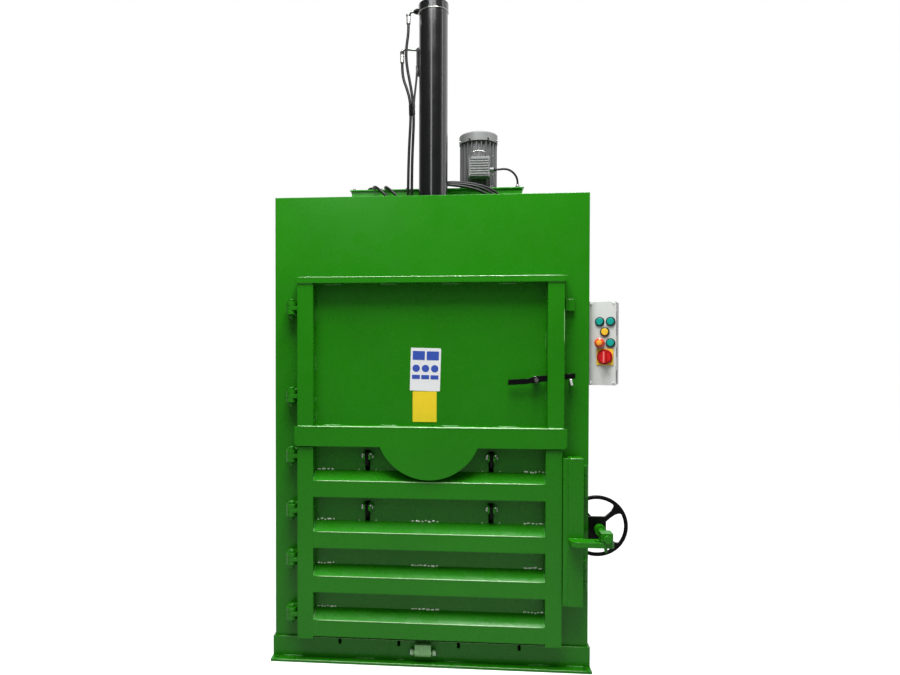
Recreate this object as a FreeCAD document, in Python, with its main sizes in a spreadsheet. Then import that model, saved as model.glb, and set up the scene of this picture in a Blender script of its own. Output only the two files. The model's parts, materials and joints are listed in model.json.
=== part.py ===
"""Vertical recycling baler: welded frame, two front doors, screw lock, press and power unit.

Millimetres.  +X is to the right and -Y towards the operator, +Z is up.  The origin is the
middle of the base plate's underside, and the press cylinder stands on the Z axis.
"""
import FreeCAD, Part
import Sketcher
import math
import os
import re

from FreeCAD import Placement, Rotation, Vector

doc = FreeCAD.newDocument("baler")
sheet = doc.addObject("Spreadsheet::Sheet", "sizes")
aliases = []
nodes = []


# ---------------------------------------------------------------- the sheet of sizes

def size(alias, value, note):
    """One named size: a plain number, or a formula that starts with an equals sign."""
    aliases.append(alias)
    row = len(aliases)
    sheet.set("A%d" % row, note)
    sheet.set("B%d" % row, str(value))
    sheet.setAlias("B%d" % row, alias)


# frame and chamber
size("plate_out", 9, "base plate, out from the front sheet's edge")
size("plate_reach", 500, "base plate, from the middle to its front or rear edge")
size("plate_thick", 10, "base plate thickness")
size("anchor_inset", 24, "anchor hole, from the edges of the base plate")
size("anchor_radius", 9, "anchor hole radius")
size("frame_half", 636, "half the width of the front sheet")
size("frame_front", 450, "front face of the front sheet, forward of the middle")
size("frame_rear", 450, "rear face of the rear wall, behind the middle")
size("frame_top", 1902, "top edge of the front sheet")
size("front_thick", 8, "front sheet thickness")
size("column_return", 34, "depth of the front sheet's folded side edges")
size("base_top", 90, "top of the base frame and of the chamber floor")
size("beam_wide", 80, "depth of the base beams")
size("base_out", 7, "base frame, out from the front sheet's edge")
size("base_front", 462, "front face of the base frame, forward of the middle")
size("side_half", 540, "outer face of a side wall")
size("wall", 6, "side and rear wall thickness")
size("mouth_half", 500, "half the width of the chamber mouth")
size("mouth_high", 1548, "upper edge of the chamber mouth")
size("strap_inner", 121.5, "inner strap channels, from the middle")
size("strap_outer", 364.5, "outer strap channels, from the middle")
size("strap_wide", 12, "width of a strap channel")
size("strap_deep", 24, "depth of a strap channel")
size("floor_thick", 5, "chamber floor sheet")
size("rib_proud", 45, "side rib, out from the wall")
size("rib_tall", 84, "side rib height")
size("rib_first", 300, "underside of the lowest side rib")
size("rib_drop", 222, "underside of the highest side rib, down from the top")
size("beam_tall", 120, "height of the head beams")
size("deck_thick", 6, "top deck sheet")

# doors
size("hinge_across", 560, "door hinge line, left of the middle")
size("hinge_forward", 486, "door hinge line, forward of the middle")
size("hinge_pin", 8, "door hinge pin radius")
size("running_gap", 0.05, "radial clearance of a running fit")
size("ear_radius", 22, "hinge ear radius")
size("ear_thick", 16, "hinge ear thickness")
size("door_back", 454, "back of the door sheets, forward of the middle")
size("door_sheet", 6, "door sheet thickness")
size("door_front", 514, "front of the door posts and ribs, forward of the middle")
size("door_left", 530, "left edge of both doors")
size("upper_right", 530, "right edge of the upper door")
size("lower_right", 524, "right edge of the lower door")
size("post_wide", 64, "door post width")
size("post_wall", 4, "door post wall")
size("lower_low", 105, "lower edge of the lower door")
size("lower_high", 884, "upper edge of the lower door")
size("upper_low", 892, "lower edge of the upper door")
size("upper_high", 1544, "upper edge of the upper door's sheet")
size("rail_half", 541, "half the length of the upper door's rails")
size("rail_low", 888, "lower edge of the apron beside its disc")
size("rail_high", 968, "upper edge of the apron")
size("apron_thick", 8, "apron plate thickness")
size("disc_radius", 210, "radius of the apron's round part")
size("apron_corner", 16, "radius of the apron's lower corners")
size("cap_high", 1568, "upper edge of the top rail")
size("rib_rise", 36, "rise of a rib's sloped top")
size("rib_face", 66, "height of a rib's front face")

# claws
size("claw_across", 250, "bale claws, either side of the middle")
size("claw_pin", 6, "claw bolt radius")
size("claw_forward", 480, "claw bolt, forward of the middle")
size("claw_thick", 12, "claw plate thickness")
size("lug_thick", 8, "claw lug thickness")
size("lug_gap", 1, "clearance beside a claw")

# latch
size("latch_across", 424, "latch bolt, right of the middle")
size("latch_high", 1159, "latch bolt height")
size("latch_forward", 486, "middle of the latch lever, forward of the middle")
size("lever_thick", 8, "latch lever thickness")
size("stop_low", 1432, "underside of the stop block beside the upper door")

# screw lock
size("lock_in", 18, "lock hinge line, in from the front sheet's edge")
size("lock_forward", 476, "lock hinge line, forward of the middle")
size("lock_low", 275, "lower end of the lock bar")
size("lock_high", 854, "upper end of the lock bar")
size("knuckle_radius", 12, "lock hinge knuckle radius")
size("knuckle_tall", 40, "lock hinge knuckle height")
size("lock_pin_radius", 5, "lock hinge pin radius")
size("spindle_out", 46, "spindle axis, out from the front sheet's edge")
size("spindle_gap", 4, "from the tongue up to the spindle")
size("spindle_radius", 12, "spindle radius")
size("collar_radius", 15, "radius of the spindle's head and collar")
size("tongue_forward", 560, "middle of the tongue, forward of the middle")
size("tongue_low", 523, "underside of the tongue")
size("tongue_thick", 20, "tongue thickness")
size("link_pin", 8, "radius of the pin through the tongue")
size("slot_gap", 1.7, "clearance of that pin in the tongue's slot, each side")
size("wheel_radius", 117, "handwheel, centre to the middle of the rim")
size("rim_radius", 8, "handwheel rim section radius")
size("spoke_half", 8, "half the width of a spoke at its narrowest")
size("spoke_thick", 12, "spoke thickness")
size("wheel_forward", 384, "handwheel, forward of the middle")

# press
size("barrel_radius", 67.5, "cylinder barrel outside")
size("barrel_bore", 55, "cylinder bore radius")
size("barrel_tall", 944, "upper end of the barrel, above the front sheet")
size("cap_thick", 40, "cylinder cap thickness")
size("cap_proud", 2.5, "cylinder cap, out from the barrel")
size("tab_drop", 290, "lower end of the hose tab, down from the barrel's upper end")
size("tab_tall", 128, "height of the hose tab")
size("tab_proud", 12, "hose tab, out from the barrel")
size("tab_half", 5, "half the thickness of the hose tab")
size("upper_port", 12, "upper hose port, above the barrel's end")
size("upper_elbow", 57, "from the upper port down to its hose")
size("lower_port", 156, "lower hose port, down from the barrel's end")
size("lower_elbow", 53, "from the lower port down to its hose")
size("flange_half", 120, "half the side of the cylinder's flange")
size("flange_thick", 25, "cylinder flange thickness")
size("rod_radius", 35, "piston rod radius")
size("piston_tall", 50, "piston height")
size("piston_drop", 106, "piston underside with the rod in, down from the barrel's upper end")
size("platen_drop", 302, "platen underside with the rod in, down from the top deck")
size("platen_half", 522, "half the width of the platen")
size("platen_reach", 425, "platen, from the middle to its front or rear edge")
size("platen_thick", 12, "platen plate thickness")
size("platen_beam", 70, "height of the platen's beams")

# ejector
size("eject_across", -22, "middle of the ejector, from the middle")
size("eject_forward", 480, "ejector hinge line, forward of the middle")
size("eject_high", 52, "ejector hinge height")
size("eject_knuckle", 17, "ejector knuckle radius")
size("eject_pin", 8, "ejector hinge bolt radius")
size("eject_half", 80, "half the width of the ejector plate")
size("eject_rear", 300, "rear end of the ejector plate")
size("eject_arm", 36, "width of the ejector's hinge arm")
size("eject_thick", 8, "ejector plate thickness")
size("leaf_thick", 6, "leaf of the ejector's hinge")
size("leaf_groove", 1.5, "groove between two leaves")
size("leaf_tall", 36, "top of the leaves, above the ejector's hinge line")

# power unit
size("tank_left", 405, "left side of the oil tank, from the middle")
size("tank_right", 425, "right side of the oil tank, from the middle")
size("tank_front", 140, "front of the oil tank, behind the middle")
size("tank_rear", 430, "rear of the oil tank, behind the middle")
size("tank_tall", 161, "oil tank height")
size("motor_across", 218, "motor axis, right of the middle")
size("motor_back", 250, "motor axis, behind the middle")
size("motor_radius", 80, "motor body radius without its fins")
size("fin_reach", 12, "height of the motor's fins")
size("motor_tall", 254, "motor height, from the tank to the top of its body")
size("cowl_radius", 95, "fan cowl radius")
size("cowl_rise", 29, "top of the fan cowl, above the motor body")
size("cowl_wall", 3, "fan cowl sheet")
size("cowl_round", 6, "rounding of the fan cowl's upper edge")
size("shield_tall", 16, "end shield that carries the cowl")
size("shaft_radius", 12, "motor shaft radius")
size("shaft_deep", 118, "motor shaft, down from the top of the motor body")
size("fan_tall", 18, "height of the fan's hub")
size("fan_reach", 70, "fan blade length from its axis")
size("term_half", 51, "half the width of the terminal box")
size("term_rise", 47, "underside of the terminal box, above the tank")
size("term_tall", 102, "height of the terminal box")
size("term_deep", 52, "depth of the terminal box")
size("term_pitch", 12, "from one rib of its lid to the next")
size("valve_left", 70, "left side of the valve block, from the middle")
size("valve_right", 50, "right side of the valve block, from the middle")
size("valve_front", 200, "front of the valve block, behind the middle")
size("valve_deep", 80, "depth of the valve block")
size("valve_tall", 60, "height of the valve block")
size("port_front", 110, "front of the port block, behind the middle")
size("port_rise", 45, "its two ports, above the top deck")

# control box
size("box_out", 4, "front left corner of the control box cover, out from the front sheet's edge")
size("box_wide", 106, "width of the control box")
size("box_low", 1136, "underside of the control box")
size("box_tall", 334, "height of the control box")
size("box_forward", 415, "the same corner, forward of the middle")
size("box_deep", 95, "depth of the control box with its cover")
size("box_turn", 20, "turn of the control box towards the operator, in degrees")
size("cover_thick", 14, "control box cover thickness")
size("button_radius", 14, "pushbutton radius")
size("button_out", 12, "pushbutton, out from the cover")
size("bezel_radius", 16, "pushbutton bezel radius")

# worked out from the sizes above
size("deck_high", "=frame_top - deck_thick", "underside of the top deck")
size("flange_high", "=frame_top + flange_thick", "top of the cylinder's flange")
size("plate_half", "=frame_half + plate_out", "half the width of the base plate")
size("base_half", "=frame_half + base_out", "half the width of the base frame")
size("platen_low", "=frame_top - platen_drop", "platen underside, rod in")
size("barrel_high", "=frame_top + barrel_tall", "upper end of the barrel")
size("piston_low", "=barrel_high - piston_drop", "piston underside, rod in")
size("tab_low", "=barrel_high - tab_drop", "lower end of the hose tab on the barrel")
size("tank_high", "=frame_top + tank_tall", "top of the oil tank")
size("motor_high", "=tank_high + motor_tall", "top of the motor body")
size("cowl_high", "=motor_high + cowl_rise", "top of the fan cowl")
size("term_low", "=tank_high + term_rise", "underside of the terminal box")
size("term_high", "=term_low + term_tall", "top of the terminal box")
size("port_high", "=frame_top + port_rise", "height of the port block's two ports")
size("lock_across", "=frame_half - lock_in", "lock hinge line, right of the middle")
size("box_left", "=frame_half + box_out", "front left corner of the control box cover")
size("spindle_across", "=frame_half + spindle_out", "spindle axis, right of the middle")
size("spindle_high", "=tongue_low + tongue_thick + spindle_radius + spindle_gap", "spindle axis height")


def bound(text):
    """Point each alias in an expression at the sheet."""
    def to_cell(word):
        return "sizes." + word.group() if word.group() in aliases else word.group()
    return re.sub(r"[a-z][a-z_]*", to_cell, str(text))


# ---------------------------------------------------------------- small builders

ALONG = {
    "x": Rotation(Vector(0, 1, 0), 90),
    "y": Rotation(Vector(1, 0, 0), -90),
    "z": Rotation(),
}


def node(name, piece):
    """Name a finished piece; its file takes this name."""
    piece.Label = name
    nodes.append(piece)
    return piece


def move(piece, x, y, z):
    for letter, text in (("x", x), ("y", y), ("z", z)):
        piece.setExpression("Placement.Base." + letter, bound(text))


def block(name, x, y, z):
    """A box between pairs of expressions."""
    solid = doc.addObject("Part::Box", name)
    for side, letter, (low, high) in (("Length", "x", x), ("Width", "y", y), ("Height", "z", z)):
        solid.setExpression(side, bound("(%s) - (%s)" % (high, low)))
        solid.setExpression("Placement.Base." + letter, bound(low))
    return solid


def rod(name, axis, radius, start, length):
    """A cylinder from its start point along +X, +Y or +Z."""
    solid = doc.addObject("Part::Cylinder", name)
    solid.Placement = Placement(Vector(), ALONG[axis])
    solid.setExpression("Radius", bound(radius))
    solid.setExpression("Height", bound(length))
    move(solid, *start)
    return solid


def fuse(name, *pieces):
    solid = doc.addObject("Part::MultiFuse", name)
    solid.Shapes = list(pieces)
    solid.Refine = True
    return solid


def together(name, *pieces):
    """Several solids that share one node."""
    bundle = doc.addObject("Part::Compound", name)
    bundle.Links = list(pieces)
    return bundle


def cut(name, base, *tools):
    solid = doc.addObject("Part::Cut", name)
    solid.Base = base
    solid.Tool = tools[0] if len(tools) == 1 else fuse(name + "_tools", *tools)
    solid.Refine = True
    return solid


def tie(sketch, kind, geometry, end, text):
    """Measure a point of the sketch from its origin by an expression."""
    point = sketch.Geometry[geometry].Center if end == 3 else sketch.Geometry[geometry].StartPoint
    start = point.x if kind == "DistanceX" else point.y
    index = sketch.addConstraint(Sketcher.Constraint(kind, -1, 1, geometry, end, start))
    sketch.setExpression("Constraints[%d]" % index, bound(text))


def draw_polygon(sketch, points):
    """A closed outline through points given as pairs of expressions."""
    count = len(points)
    first = sketch.GeometryCount
    ring = [Vector(100 * math.cos(2 * math.pi * i / count), 100 * math.sin(2 * math.pi * i / count), 0)
            for i in range(count)]
    for i in range(count):
        sketch.addGeometry(Part.LineSegment(ring[i], ring[(i + 1) % count]), False)
    for i in range(count):
        sketch.addConstraint(Sketcher.Constraint("Coincident", first + i, 2, first + (i + 1) % count, 1))
    for i, (across, up) in enumerate(points):
        tie(sketch, "DistanceX", first + i, 1, across)
        tie(sketch, "DistanceY", first + i, 1, up)


def draw_circle(sketch, across, up, radius):
    index = sketch.addGeometry(Part.Circle(Vector(50, 50, 0), Vector(0, 0, 1), 10), False)
    tie(sketch, "DistanceX", index, 3, across)
    tie(sketch, "DistanceY", index, 3, up)
    limit = sketch.addConstraint(Sketcher.Constraint("Radius", index, 10))
    sketch.setExpression("Constraints[%d]" % limit, bound(radius))


def new_sketch(body, plane, outlines):
    sketch = body.newObject("Sketcher::SketchObject", body.Name + "_sketch")
    support = [item for item in body.Origin.OriginFeatures if item.Role == plane][0]
    sketch.AttachmentSupport = [(support, "")]
    sketch.MapMode = "FlatFace"
    for outline in outlines:
        if len(outline) == 3 and isinstance(outline[0], str):
            draw_circle(sketch, *outline)
        else:
            draw_polygon(sketch, outline)
    return sketch


def extrude(name, plane, outlines, length, start=("0", "0", "0")):
    """Pad outlines: XY pads up, XZ pads towards the front, YZ pads to the right."""
    body = doc.addObject("PartDesign::Body", name)
    sketch = new_sketch(body, plane + "_Plane", outlines)
    pad = body.newObject("PartDesign::Pad", name + "_pad")
    pad.Profile = sketch
    pad.setExpression("Length", bound(length))
    sketch.Visibility = False
    move(body, *start)
    return body


def revolve(name, points, start, axis="z"):
    """Turn an outline of (radius, height) pairs about its own axis."""
    body = doc.addObject("PartDesign::Body", name)
    sketch = new_sketch(body, "XZ_Plane", [points])
    turn = body.newObject("PartDesign::Revolution", name + "_turn")
    turn.Profile = sketch
    turn.ReferenceAxis = (sketch, ["V_Axis"])
    turn.Angle = 360
    body.Placement = Placement(Vector(), ALONG[axis])
    move(body, *start)
    return body


def rectangle(x, y):
    (left, right), (low, high) = x, y
    return [(left, low), (right, low), (right, high), (left, high)]


# ---------------------------------------------------------------- base and frame

def base_plate():
    corner = ("plate_half - anchor_inset", "plate_reach - anchor_inset")
    outlines = [rectangle(("-plate_half", "plate_half"), ("-plate_reach", "plate_reach"))]
    for across in ("%s", "-(%s)"):
        for along in ("%s", "-(%s)"):
            outlines.append((across % corner[0], along % corner[1], "anchor_radius"))
    return extrude("base_plate", "XY", outlines, "plate_thick")


STRAPS = ("-strap_outer", "-strap_inner", "strap_inner", "strap_outer")


def slotted_outline(low, half):
    """A beam's front view, with an open slot above for each strap channel."""
    points = [("-(%s)" % half, low), (half, low), (half, "base_top")]
    for middle in reversed(STRAPS):
        right = "%s + strap_wide / 2" % middle
        left = "%s - strap_wide / 2" % middle
        floor = "base_top - strap_deep"
        points += [(right, "base_top"), (right, floor), (left, floor), (left, "base_top")]
    return points + [("-(%s)" % half, "base_top")]


def base_frame():
    outline = slotted_outline("plate_thick", "base_half")
    front = extrude("base_front_beam", "XZ", [outline], "base_front - frame_front + beam_wide",
                    ("0", "beam_wide - frame_front", "0"))
    rear = extrude("base_rear_beam", "XZ", [outline], "beam_wide", ("0", "frame_rear", "0"))
    along = ("beam_wide - frame_front", "frame_rear - beam_wide")
    upright = ("plate_thick", "base_top")
    left = block("base_left", ("-base_half", "-side_half"), along, upright)
    right = block("base_right", ("side_half", "base_half"), along, upright)
    notch = block("eject_notch", ("eject_across - 22", "eject_across + 22"),
                  ("-base_front - 1", "beam_wide - frame_front + 1"), ("eject_high - 15", "base_top + 1"))
    return cut("base_frame", fuse("base_weldment", front, rear, left, right), notch)


def chamber_floor():
    """One folded sheet whose channels take the bale straps."""
    top = [("-side_half", "base_top")]
    under = [("-side_half", "base_top - floor_thick")]
    for middle in STRAPS:
        left = "%s - strap_wide / 2" % middle
        right = "%s + strap_wide / 2" % middle
        low = "base_top - strap_deep"
        top += [(left, "base_top"), (left, low), (right, low), (right, "base_top")]
        under += [(left + " - floor_thick", "base_top - floor_thick"),
                  (left + " - floor_thick", low + " - floor_thick"),
                  (right + " + floor_thick", low + " - floor_thick"),
                  (right + " + floor_thick", "base_top - floor_thick")]
    top.append(("side_half", "base_top"))
    under.append(("side_half", "base_top - floor_thick"))
    return extrude("chamber_floor", "XZ", [top + list(reversed(under))],
                   "frame_front + frame_rear - 2 * beam_wide", ("0", "frame_rear - beam_wide", "0"))


def front_sheet():
    """One folded sheet: a portal round the chamber mouth with returned side edges."""
    outline = [("-frame_half", "base_top"), ("-mouth_half", "base_top"), ("-mouth_half", "mouth_high"),
               ("mouth_half", "mouth_high"), ("mouth_half", "base_top"), ("frame_half", "base_top"),
               ("frame_half", "frame_top"), ("-frame_half", "frame_top")]
    face = extrude("front_face", "XZ", [outline], "front_thick", ("0", "front_thick - frame_front", "0"))
    depth = ("-frame_front", "front_thick - frame_front + column_return")
    upright = ("base_top", "frame_top")
    left = block("return_left", ("-frame_half", "front_thick - frame_half"), depth, upright)
    right = block("return_right", ("frame_half - front_thick", "frame_half"), depth, upright)
    return fuse("front_sheet", face, left, right)


RIB_COUNT = 4
RIB_HEIGHTS = ["rib_first + %d * (frame_top - rib_drop - rib_first) / %d" % (i, RIB_COUNT - 1)
               for i in range(RIB_COUNT)]


def side_wall(name, side):
    """A side wall with its welded channel ribs; side is 1 on the right."""
    if side > 0:
        x_wall = ("side_half - wall", "side_half")
        x_rib = ("side_half", "side_half + rib_proud")
    else:
        x_wall = ("-side_half", "wall - side_half")
        x_rib = ("-side_half - rib_proud", "-side_half")
    along = ("front_thick - frame_front", "frame_rear - wall")
    pieces = [block(name + "_skin", x_wall, along, ("base_top", "deck_high"))]
    for i, height in enumerate(RIB_HEIGHTS):
        pieces.append(block("%s_rib_%d" % (name, i + 1), x_rib, ("-290", "frame_rear - wall"),
                            (height, height + " + rib_tall")))
    return fuse(name, *pieces)


def rear_wall():
    skin = block("rear_skin", ("-side_half", "side_half"), ("frame_rear - wall", "frame_rear"),
                 ("base_top", "deck_high"))
    pieces = [skin]
    for i, height in enumerate(RIB_HEIGHTS):
        pieces.append(block("rear_rib_%d" % (i + 1), ("-side_half", "side_half"),
                            ("frame_rear", "frame_rear + rib_proud"), (height, height + " + rib_tall")))
    return fuse("rear_wall", *pieces)


def head_frame():
    """Deck and the two beams under it that take the pressing force."""
    deck = block("deck", ("-side_half", "side_half"), ("front_thick - frame_front", "frame_rear"),
                 ("deck_high", "frame_top"))
    across = ("wall - side_half", "side_half - wall")
    tall = ("deck_high - beam_tall", "deck_high")
    front = block("head_beam_front", across, ("-175", "-75"), tall)
    rear = block("head_beam_rear", across, ("75", "175"), tall)
    bore = rod("deck_bore", "z", "barrel_radius", ("0", "0", "deck_high - 1"), "deck_thick + 2")
    return cut("head_frame", fuse("head_weldment", deck, front, rear), bore)


UPPER_EARS = ("1088", "1445")
LOWER_EARS = ("199", "423", "622", "845")


def fixed_ears():
    """Two ears on the front sheet for each door hinge, one above and one below the moving ear."""
    ears = []
    for i, height in enumerate(LOWER_EARS + UPPER_EARS):
        for j, low in enumerate(("%s - 1.5 * ear_thick - 1", "%s + 0.5 * ear_thick + 1")):
            low = low % height
            name = "fixed_ear_%d_%d" % (i + 1, j + 1)
            eye = rod(name + "_eye", "z", "ear_radius", ("-hinge_across", "-hinge_forward", low),
                      "ear_thick")
            foot = block(name + "_foot", ("-hinge_across - ear_radius", "-hinge_across + ear_radius"),
                         ("-hinge_forward", "-frame_front"), (low, low + " + ear_thick"))
            bore = rod(name + "_bore", "z", "hinge_pin",
                       ("-hinge_across", "-hinge_forward", low + " - 1"), "ear_thick + 2")
            ears.append(cut(name, fuse(name + "_blank", eye, foot), bore))
    return together("hinge_ears", *ears)


def hinge_pins():
    pins = []
    for i, height in enumerate(LOWER_EARS + UPPER_EARS):
        low = "%s - 1.5 * ear_thick - 9" % height
        outline = [("0", "0"), ("hinge_pin", "0"), ("hinge_pin", "3 * ear_thick + 10"),
                   ("hinge_pin + 6", "3 * ear_thick + 10"), ("hinge_pin + 6", "3 * ear_thick + 20"),
                   ("0", "3 * ear_thick + 20")]
        pins.append(revolve("hinge_pin_%d" % (i + 1), outline, ("-hinge_across", "-hinge_forward", low)))
    return pins


def latch_keeper():
    """Peg on the front sheet that carries the end of the latch lever, and the stop block above it."""
    peg = rod("keeper_peg", "y", "7", ("upper_right + 32", "-latch_forward - 12", "latch_high - 4"),
              "latch_forward + 12 - frame_front")
    stop = block("door_stop", ("upper_right + 11", "upper_right + 45"),
                 ("-frame_front - 18", "-frame_front"),
                 ("stop_low", "stop_low + 46"))
    return together("latch_keeper", peg, stop)


node("base_plate", base_plate())
node("base_frame", base_frame())
node("chamber_floor", chamber_floor())
node("front_sheet", front_sheet())
node("side_wall_left", side_wall("left_wall", -1))
node("side_wall_right", side_wall("right_wall", 1))
node("rear_wall", rear_wall())
node("head_frame", head_frame())
node("hinge_ears", fixed_ears())
node("latch_keeper", latch_keeper())


# ---------------------------------------------------------------- doors

def moving_ear(name, height):
    low = "%s - ear_thick / 2" % height
    eye = rod(name + "_eye", "z", "ear_radius", ("-hinge_across", "-hinge_forward", low), "ear_thick")
    arm = block(name + "_arm", ("-hinge_across", "-door_left"),
                ("-hinge_forward - ear_radius", "-hinge_forward + ear_radius"), (low, low + " + ear_thick"))
    return eye, arm


def door_posts(name, right_edge, low, high, ears):
    """Two tube posts, the left one with the moving hinge ears."""
    depth = ("-door_front", "-door_back - door_sheet")
    inner_depth = ("-door_front + post_wall", "-door_back - door_sheet - post_wall")
    left_outer = rectangle(("-door_left", "post_wide - door_left"), depth)
    left_inner = rectangle(("post_wall - door_left", "post_wide - post_wall - door_left"), inner_depth)
    right_outer = rectangle((right_edge + " - post_wide", right_edge), depth)
    right_inner = rectangle((right_edge + " - post_wide + post_wall", right_edge + " - post_wall"),
                            inner_depth)
    tall = "(%s) - (%s)" % (high, low)
    left = extrude(name + "_left_tube", "XY", [left_outer, left_inner], tall, ("0", "0", low))
    right = extrude(name + "_right_tube", "XY", [right_outer, right_inner], tall, ("0", "0", low))
    pieces = [left]
    bores = []
    for i, height in enumerate(ears):
        ear = "%s_ear_%d" % (name, i + 1)
        pieces += moving_ear(ear, height)
        bores.append(rod(ear + "_bore", "z", "hinge_pin + running_gap",
                         ("-hinge_across", "-hinge_forward", height + " - ear_thick"), "2 * ear_thick"))
    hinged = cut(name + "_hinged", fuse(name + "_left", *pieces), *bores)
    return hinged, right


RIBS = ("149", "328", "508", "715")
CLAWS = (("-claw_across", "845"), ("claw_across", "845"), ("-claw_across", "637"), ("claw_across", "637"))


def lower_door_sheet():
    outline = rectangle(("-door_left", "lower_right"), ("lower_low", "lower_high"))
    slots = []
    for across, height in CLAWS:
        slots.append(rectangle((across + " - claw_thick / 2 - 4", across + " + claw_thick / 2 + 4"),
                               (height + " - 74", height + " + 22")))
    return extrude("lower_door_sheet", "XZ", [outline] + slots, "door_sheet", ("0", "-door_back", "0"))


def lower_door_ribs():
    ribs = []
    back = "-door_back - door_sheet"
    for i, middle in enumerate(RIBS):
        low = "%s - rib_face / 2" % middle
        high = "%s + rib_face / 2" % middle
        outline = [("-door_front", low), (back, low), (back, high + " + rib_rise"), ("-door_front", high)]
        ribs.append(extrude("lower_rib_%d" % (i + 1), "YZ", [outline],
                            "lower_right + door_left - 2 * post_wide", ("post_wide - door_left", "0", "0")))
    return together("lower_door_ribs", *ribs)


def claw_lugs():
    """A pair of round-nosed lugs with a cross bolt for each claw."""
    pieces = []
    back = "-door_back - door_sheet"
    for i, (across, height) in enumerate(CLAWS):
        name = "claw_lug_%d" % (i + 1)
        ears = []
        for side, low in (("a", "%s - claw_thick / 2 - lug_gap - lug_thick"),
                          ("b", "%s + claw_thick / 2 + lug_gap")):
            low = low % across
            ears.append(rod(name + side + "_eye", "x", "17", (low, "-claw_forward", height), "lug_thick"))
            ears.append(block(name + side + "_foot", (low, low + " + lug_thick"), ("-claw_forward", back),
                              (height + " - 17", height + " + 17")))
        bolt = rod(name + "_bolt", "x", "claw_pin",
                   ("%s - claw_thick / 2 - lug_gap - lug_thick - 5" % across, "-claw_forward", height),
                   "claw_thick + 2 * lug_gap + 2 * lug_thick + 10")
        head = rod(name + "_head", "x", "9",
                   ("%s + claw_thick / 2 + lug_gap + lug_thick" % across, "-claw_forward", height), "7")
        pieces.append(fuse(name, *(ears + [bolt, head])))
    return together("claw_lugs", *pieces)


def claw(index):
    """A hook plate that hangs on its bolt and reaches through the door sheet."""
    across, height = CLAWS[index]
    name = "bale_claw_%d" % (index + 1)
    forward = "-claw_forward"
    outline = [(forward + " - 14", "14"), (forward + " + 12", "16"), (forward + " + 30", "8"),
               (forward + " + 58", "-22"), (forward + " + 56", "-34"), (forward + " + 24", "-46"),
               (forward, "-40"), (forward + " - 14", "-14")]
    bore = (forward, "0", "claw_pin + running_gap")
    return extrude(name, "YZ", [outline, bore], "claw_thick", (across + " - claw_thick / 2", "0", height))


def upper_door_sheet():
    outline = rectangle(("-door_left", "upper_right"), ("upper_low", "upper_high"))
    return extrude("upper_door_sheet", "XZ", [outline], "door_sheet", ("0", "-door_back", "0"))


def upper_door_posts():
    left, right = door_posts("upper_posts", "upper_right", "rail_high", "upper_high", UPPER_EARS)
    slot = block("latch_window", ("upper_right - post_wide - 1", "upper_right + 1"),
                 ("-latch_forward - lever_thick", "-latch_forward + lever_thick"),
                 ("latch_high - 22", "latch_high + 62"))
    return together("upper_door_posts", left, cut("upper_right_post", right, slot))


def upper_door_rail():
    """Top rail with its lower corners cut away."""
    half = "rail_half"
    outline = [("-rail_half + 12", "upper_high"), ("rail_half - 12", "upper_high"),
               (half, "upper_high + 12"),
               (half, "cap_high"), ("-rail_half", "cap_high"), ("-rail_half", "upper_high + 12")]
    return extrude("upper_door_rail", "XZ", [outline], "door_front - door_back + 4",
                   ("0", "-door_back", "0"))


def upper_door_apron():
    """Front plate with a round middle that hangs over the lower door, and its top flange."""
    depth = ("-door_front - apron_thick", "-door_front")
    strip = block("apron_strip", ("-rail_half", "rail_half"), depth,
                  ("rail_low + apron_corner", "rail_high"))
    foot = block("apron_foot", ("-rail_half + apron_corner", "rail_half - apron_corner"), depth,
                 ("rail_low", "rail_low + apron_corner"))
    corners = [rod("apron_corner_%d" % (i + 1), "y", "apron_corner",
                   (across, "-door_front - apron_thick", "rail_low + apron_corner"), "apron_thick")
               for i, across in enumerate(("-rail_half + apron_corner", "rail_half - apron_corner"))]
    disc = rod("apron_disc", "y", "disc_radius", ("0", "-door_front - apron_thick", "rail_high"),
               "apron_thick")
    above = block("apron_above", ("-disc_radius - 1", "disc_radius + 1"),
                  ("-door_front - apron_thick - 1", "-door_front + 1"), ("rail_high",
                                                                         "rail_high + disc_radius + 1"))
    shelf = block("apron_shelf", ("-door_left", "upper_right"), ("-door_front", "-door_back - door_sheet"),
                  ("rail_high - apron_thick", "rail_high"))
    return fuse("upper_door_apron", strip, foot, cut("apron_half_disc", disc, above), shelf, *corners)


def latch_lever():
    """Bar on the upper door; its right end rests on the keeper's peg."""
    outline = [("-111", "-22"), ("-108", "0"), ("-30", "4"), ("0", "14"), ("152", "26"),
               ("152", "5"), ("60", "-3"), ("0", "-12"), ("-40", "-18")]
    return extrude("latch_lever", "XZ", [outline, ("0", "0", "6 + running_gap")], "lever_thick",
                   ("latch_across", "-latch_forward + lever_thick / 2", "latch_high"))


def latch_bolt():
    shank = rod("latch_shank", "y", "6", ("latch_across", "-latch_forward - 8", "latch_high"),
                "latch_forward + 8 - door_back - door_sheet")
    head = rod("latch_head", "y", "8", ("latch_across", "-latch_forward - 14", "latch_high"), "8")
    boss = rod("latch_boss", "y", "14", ("latch_across", "-latch_forward + lever_thick / 2 + 1",
                                         "latch_high"),
               "latch_forward - lever_thick / 2 - 1 - door_back - door_sheet")
    return fuse("latch_bolt", shank, head, boss)


node("lower_door_sheet", lower_door_sheet())
node("lower_door_posts", together("lower_door_posts", *door_posts(
    "lower_posts", "lower_right", "lower_low", "lower_high", LOWER_EARS)))
node("lower_door_ribs", lower_door_ribs())
node("claw_lugs", claw_lugs())
for index in range(len(CLAWS)):
    node("bale_claw_%d" % (index + 1), claw(index))
node("upper_door_sheet", upper_door_sheet())
node("upper_door_posts", upper_door_posts())
node("upper_door_rail", upper_door_rail())
node("upper_door_apron", upper_door_apron())
node("latch_lever", latch_lever())
node("latch_bolt", latch_bolt())


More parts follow.
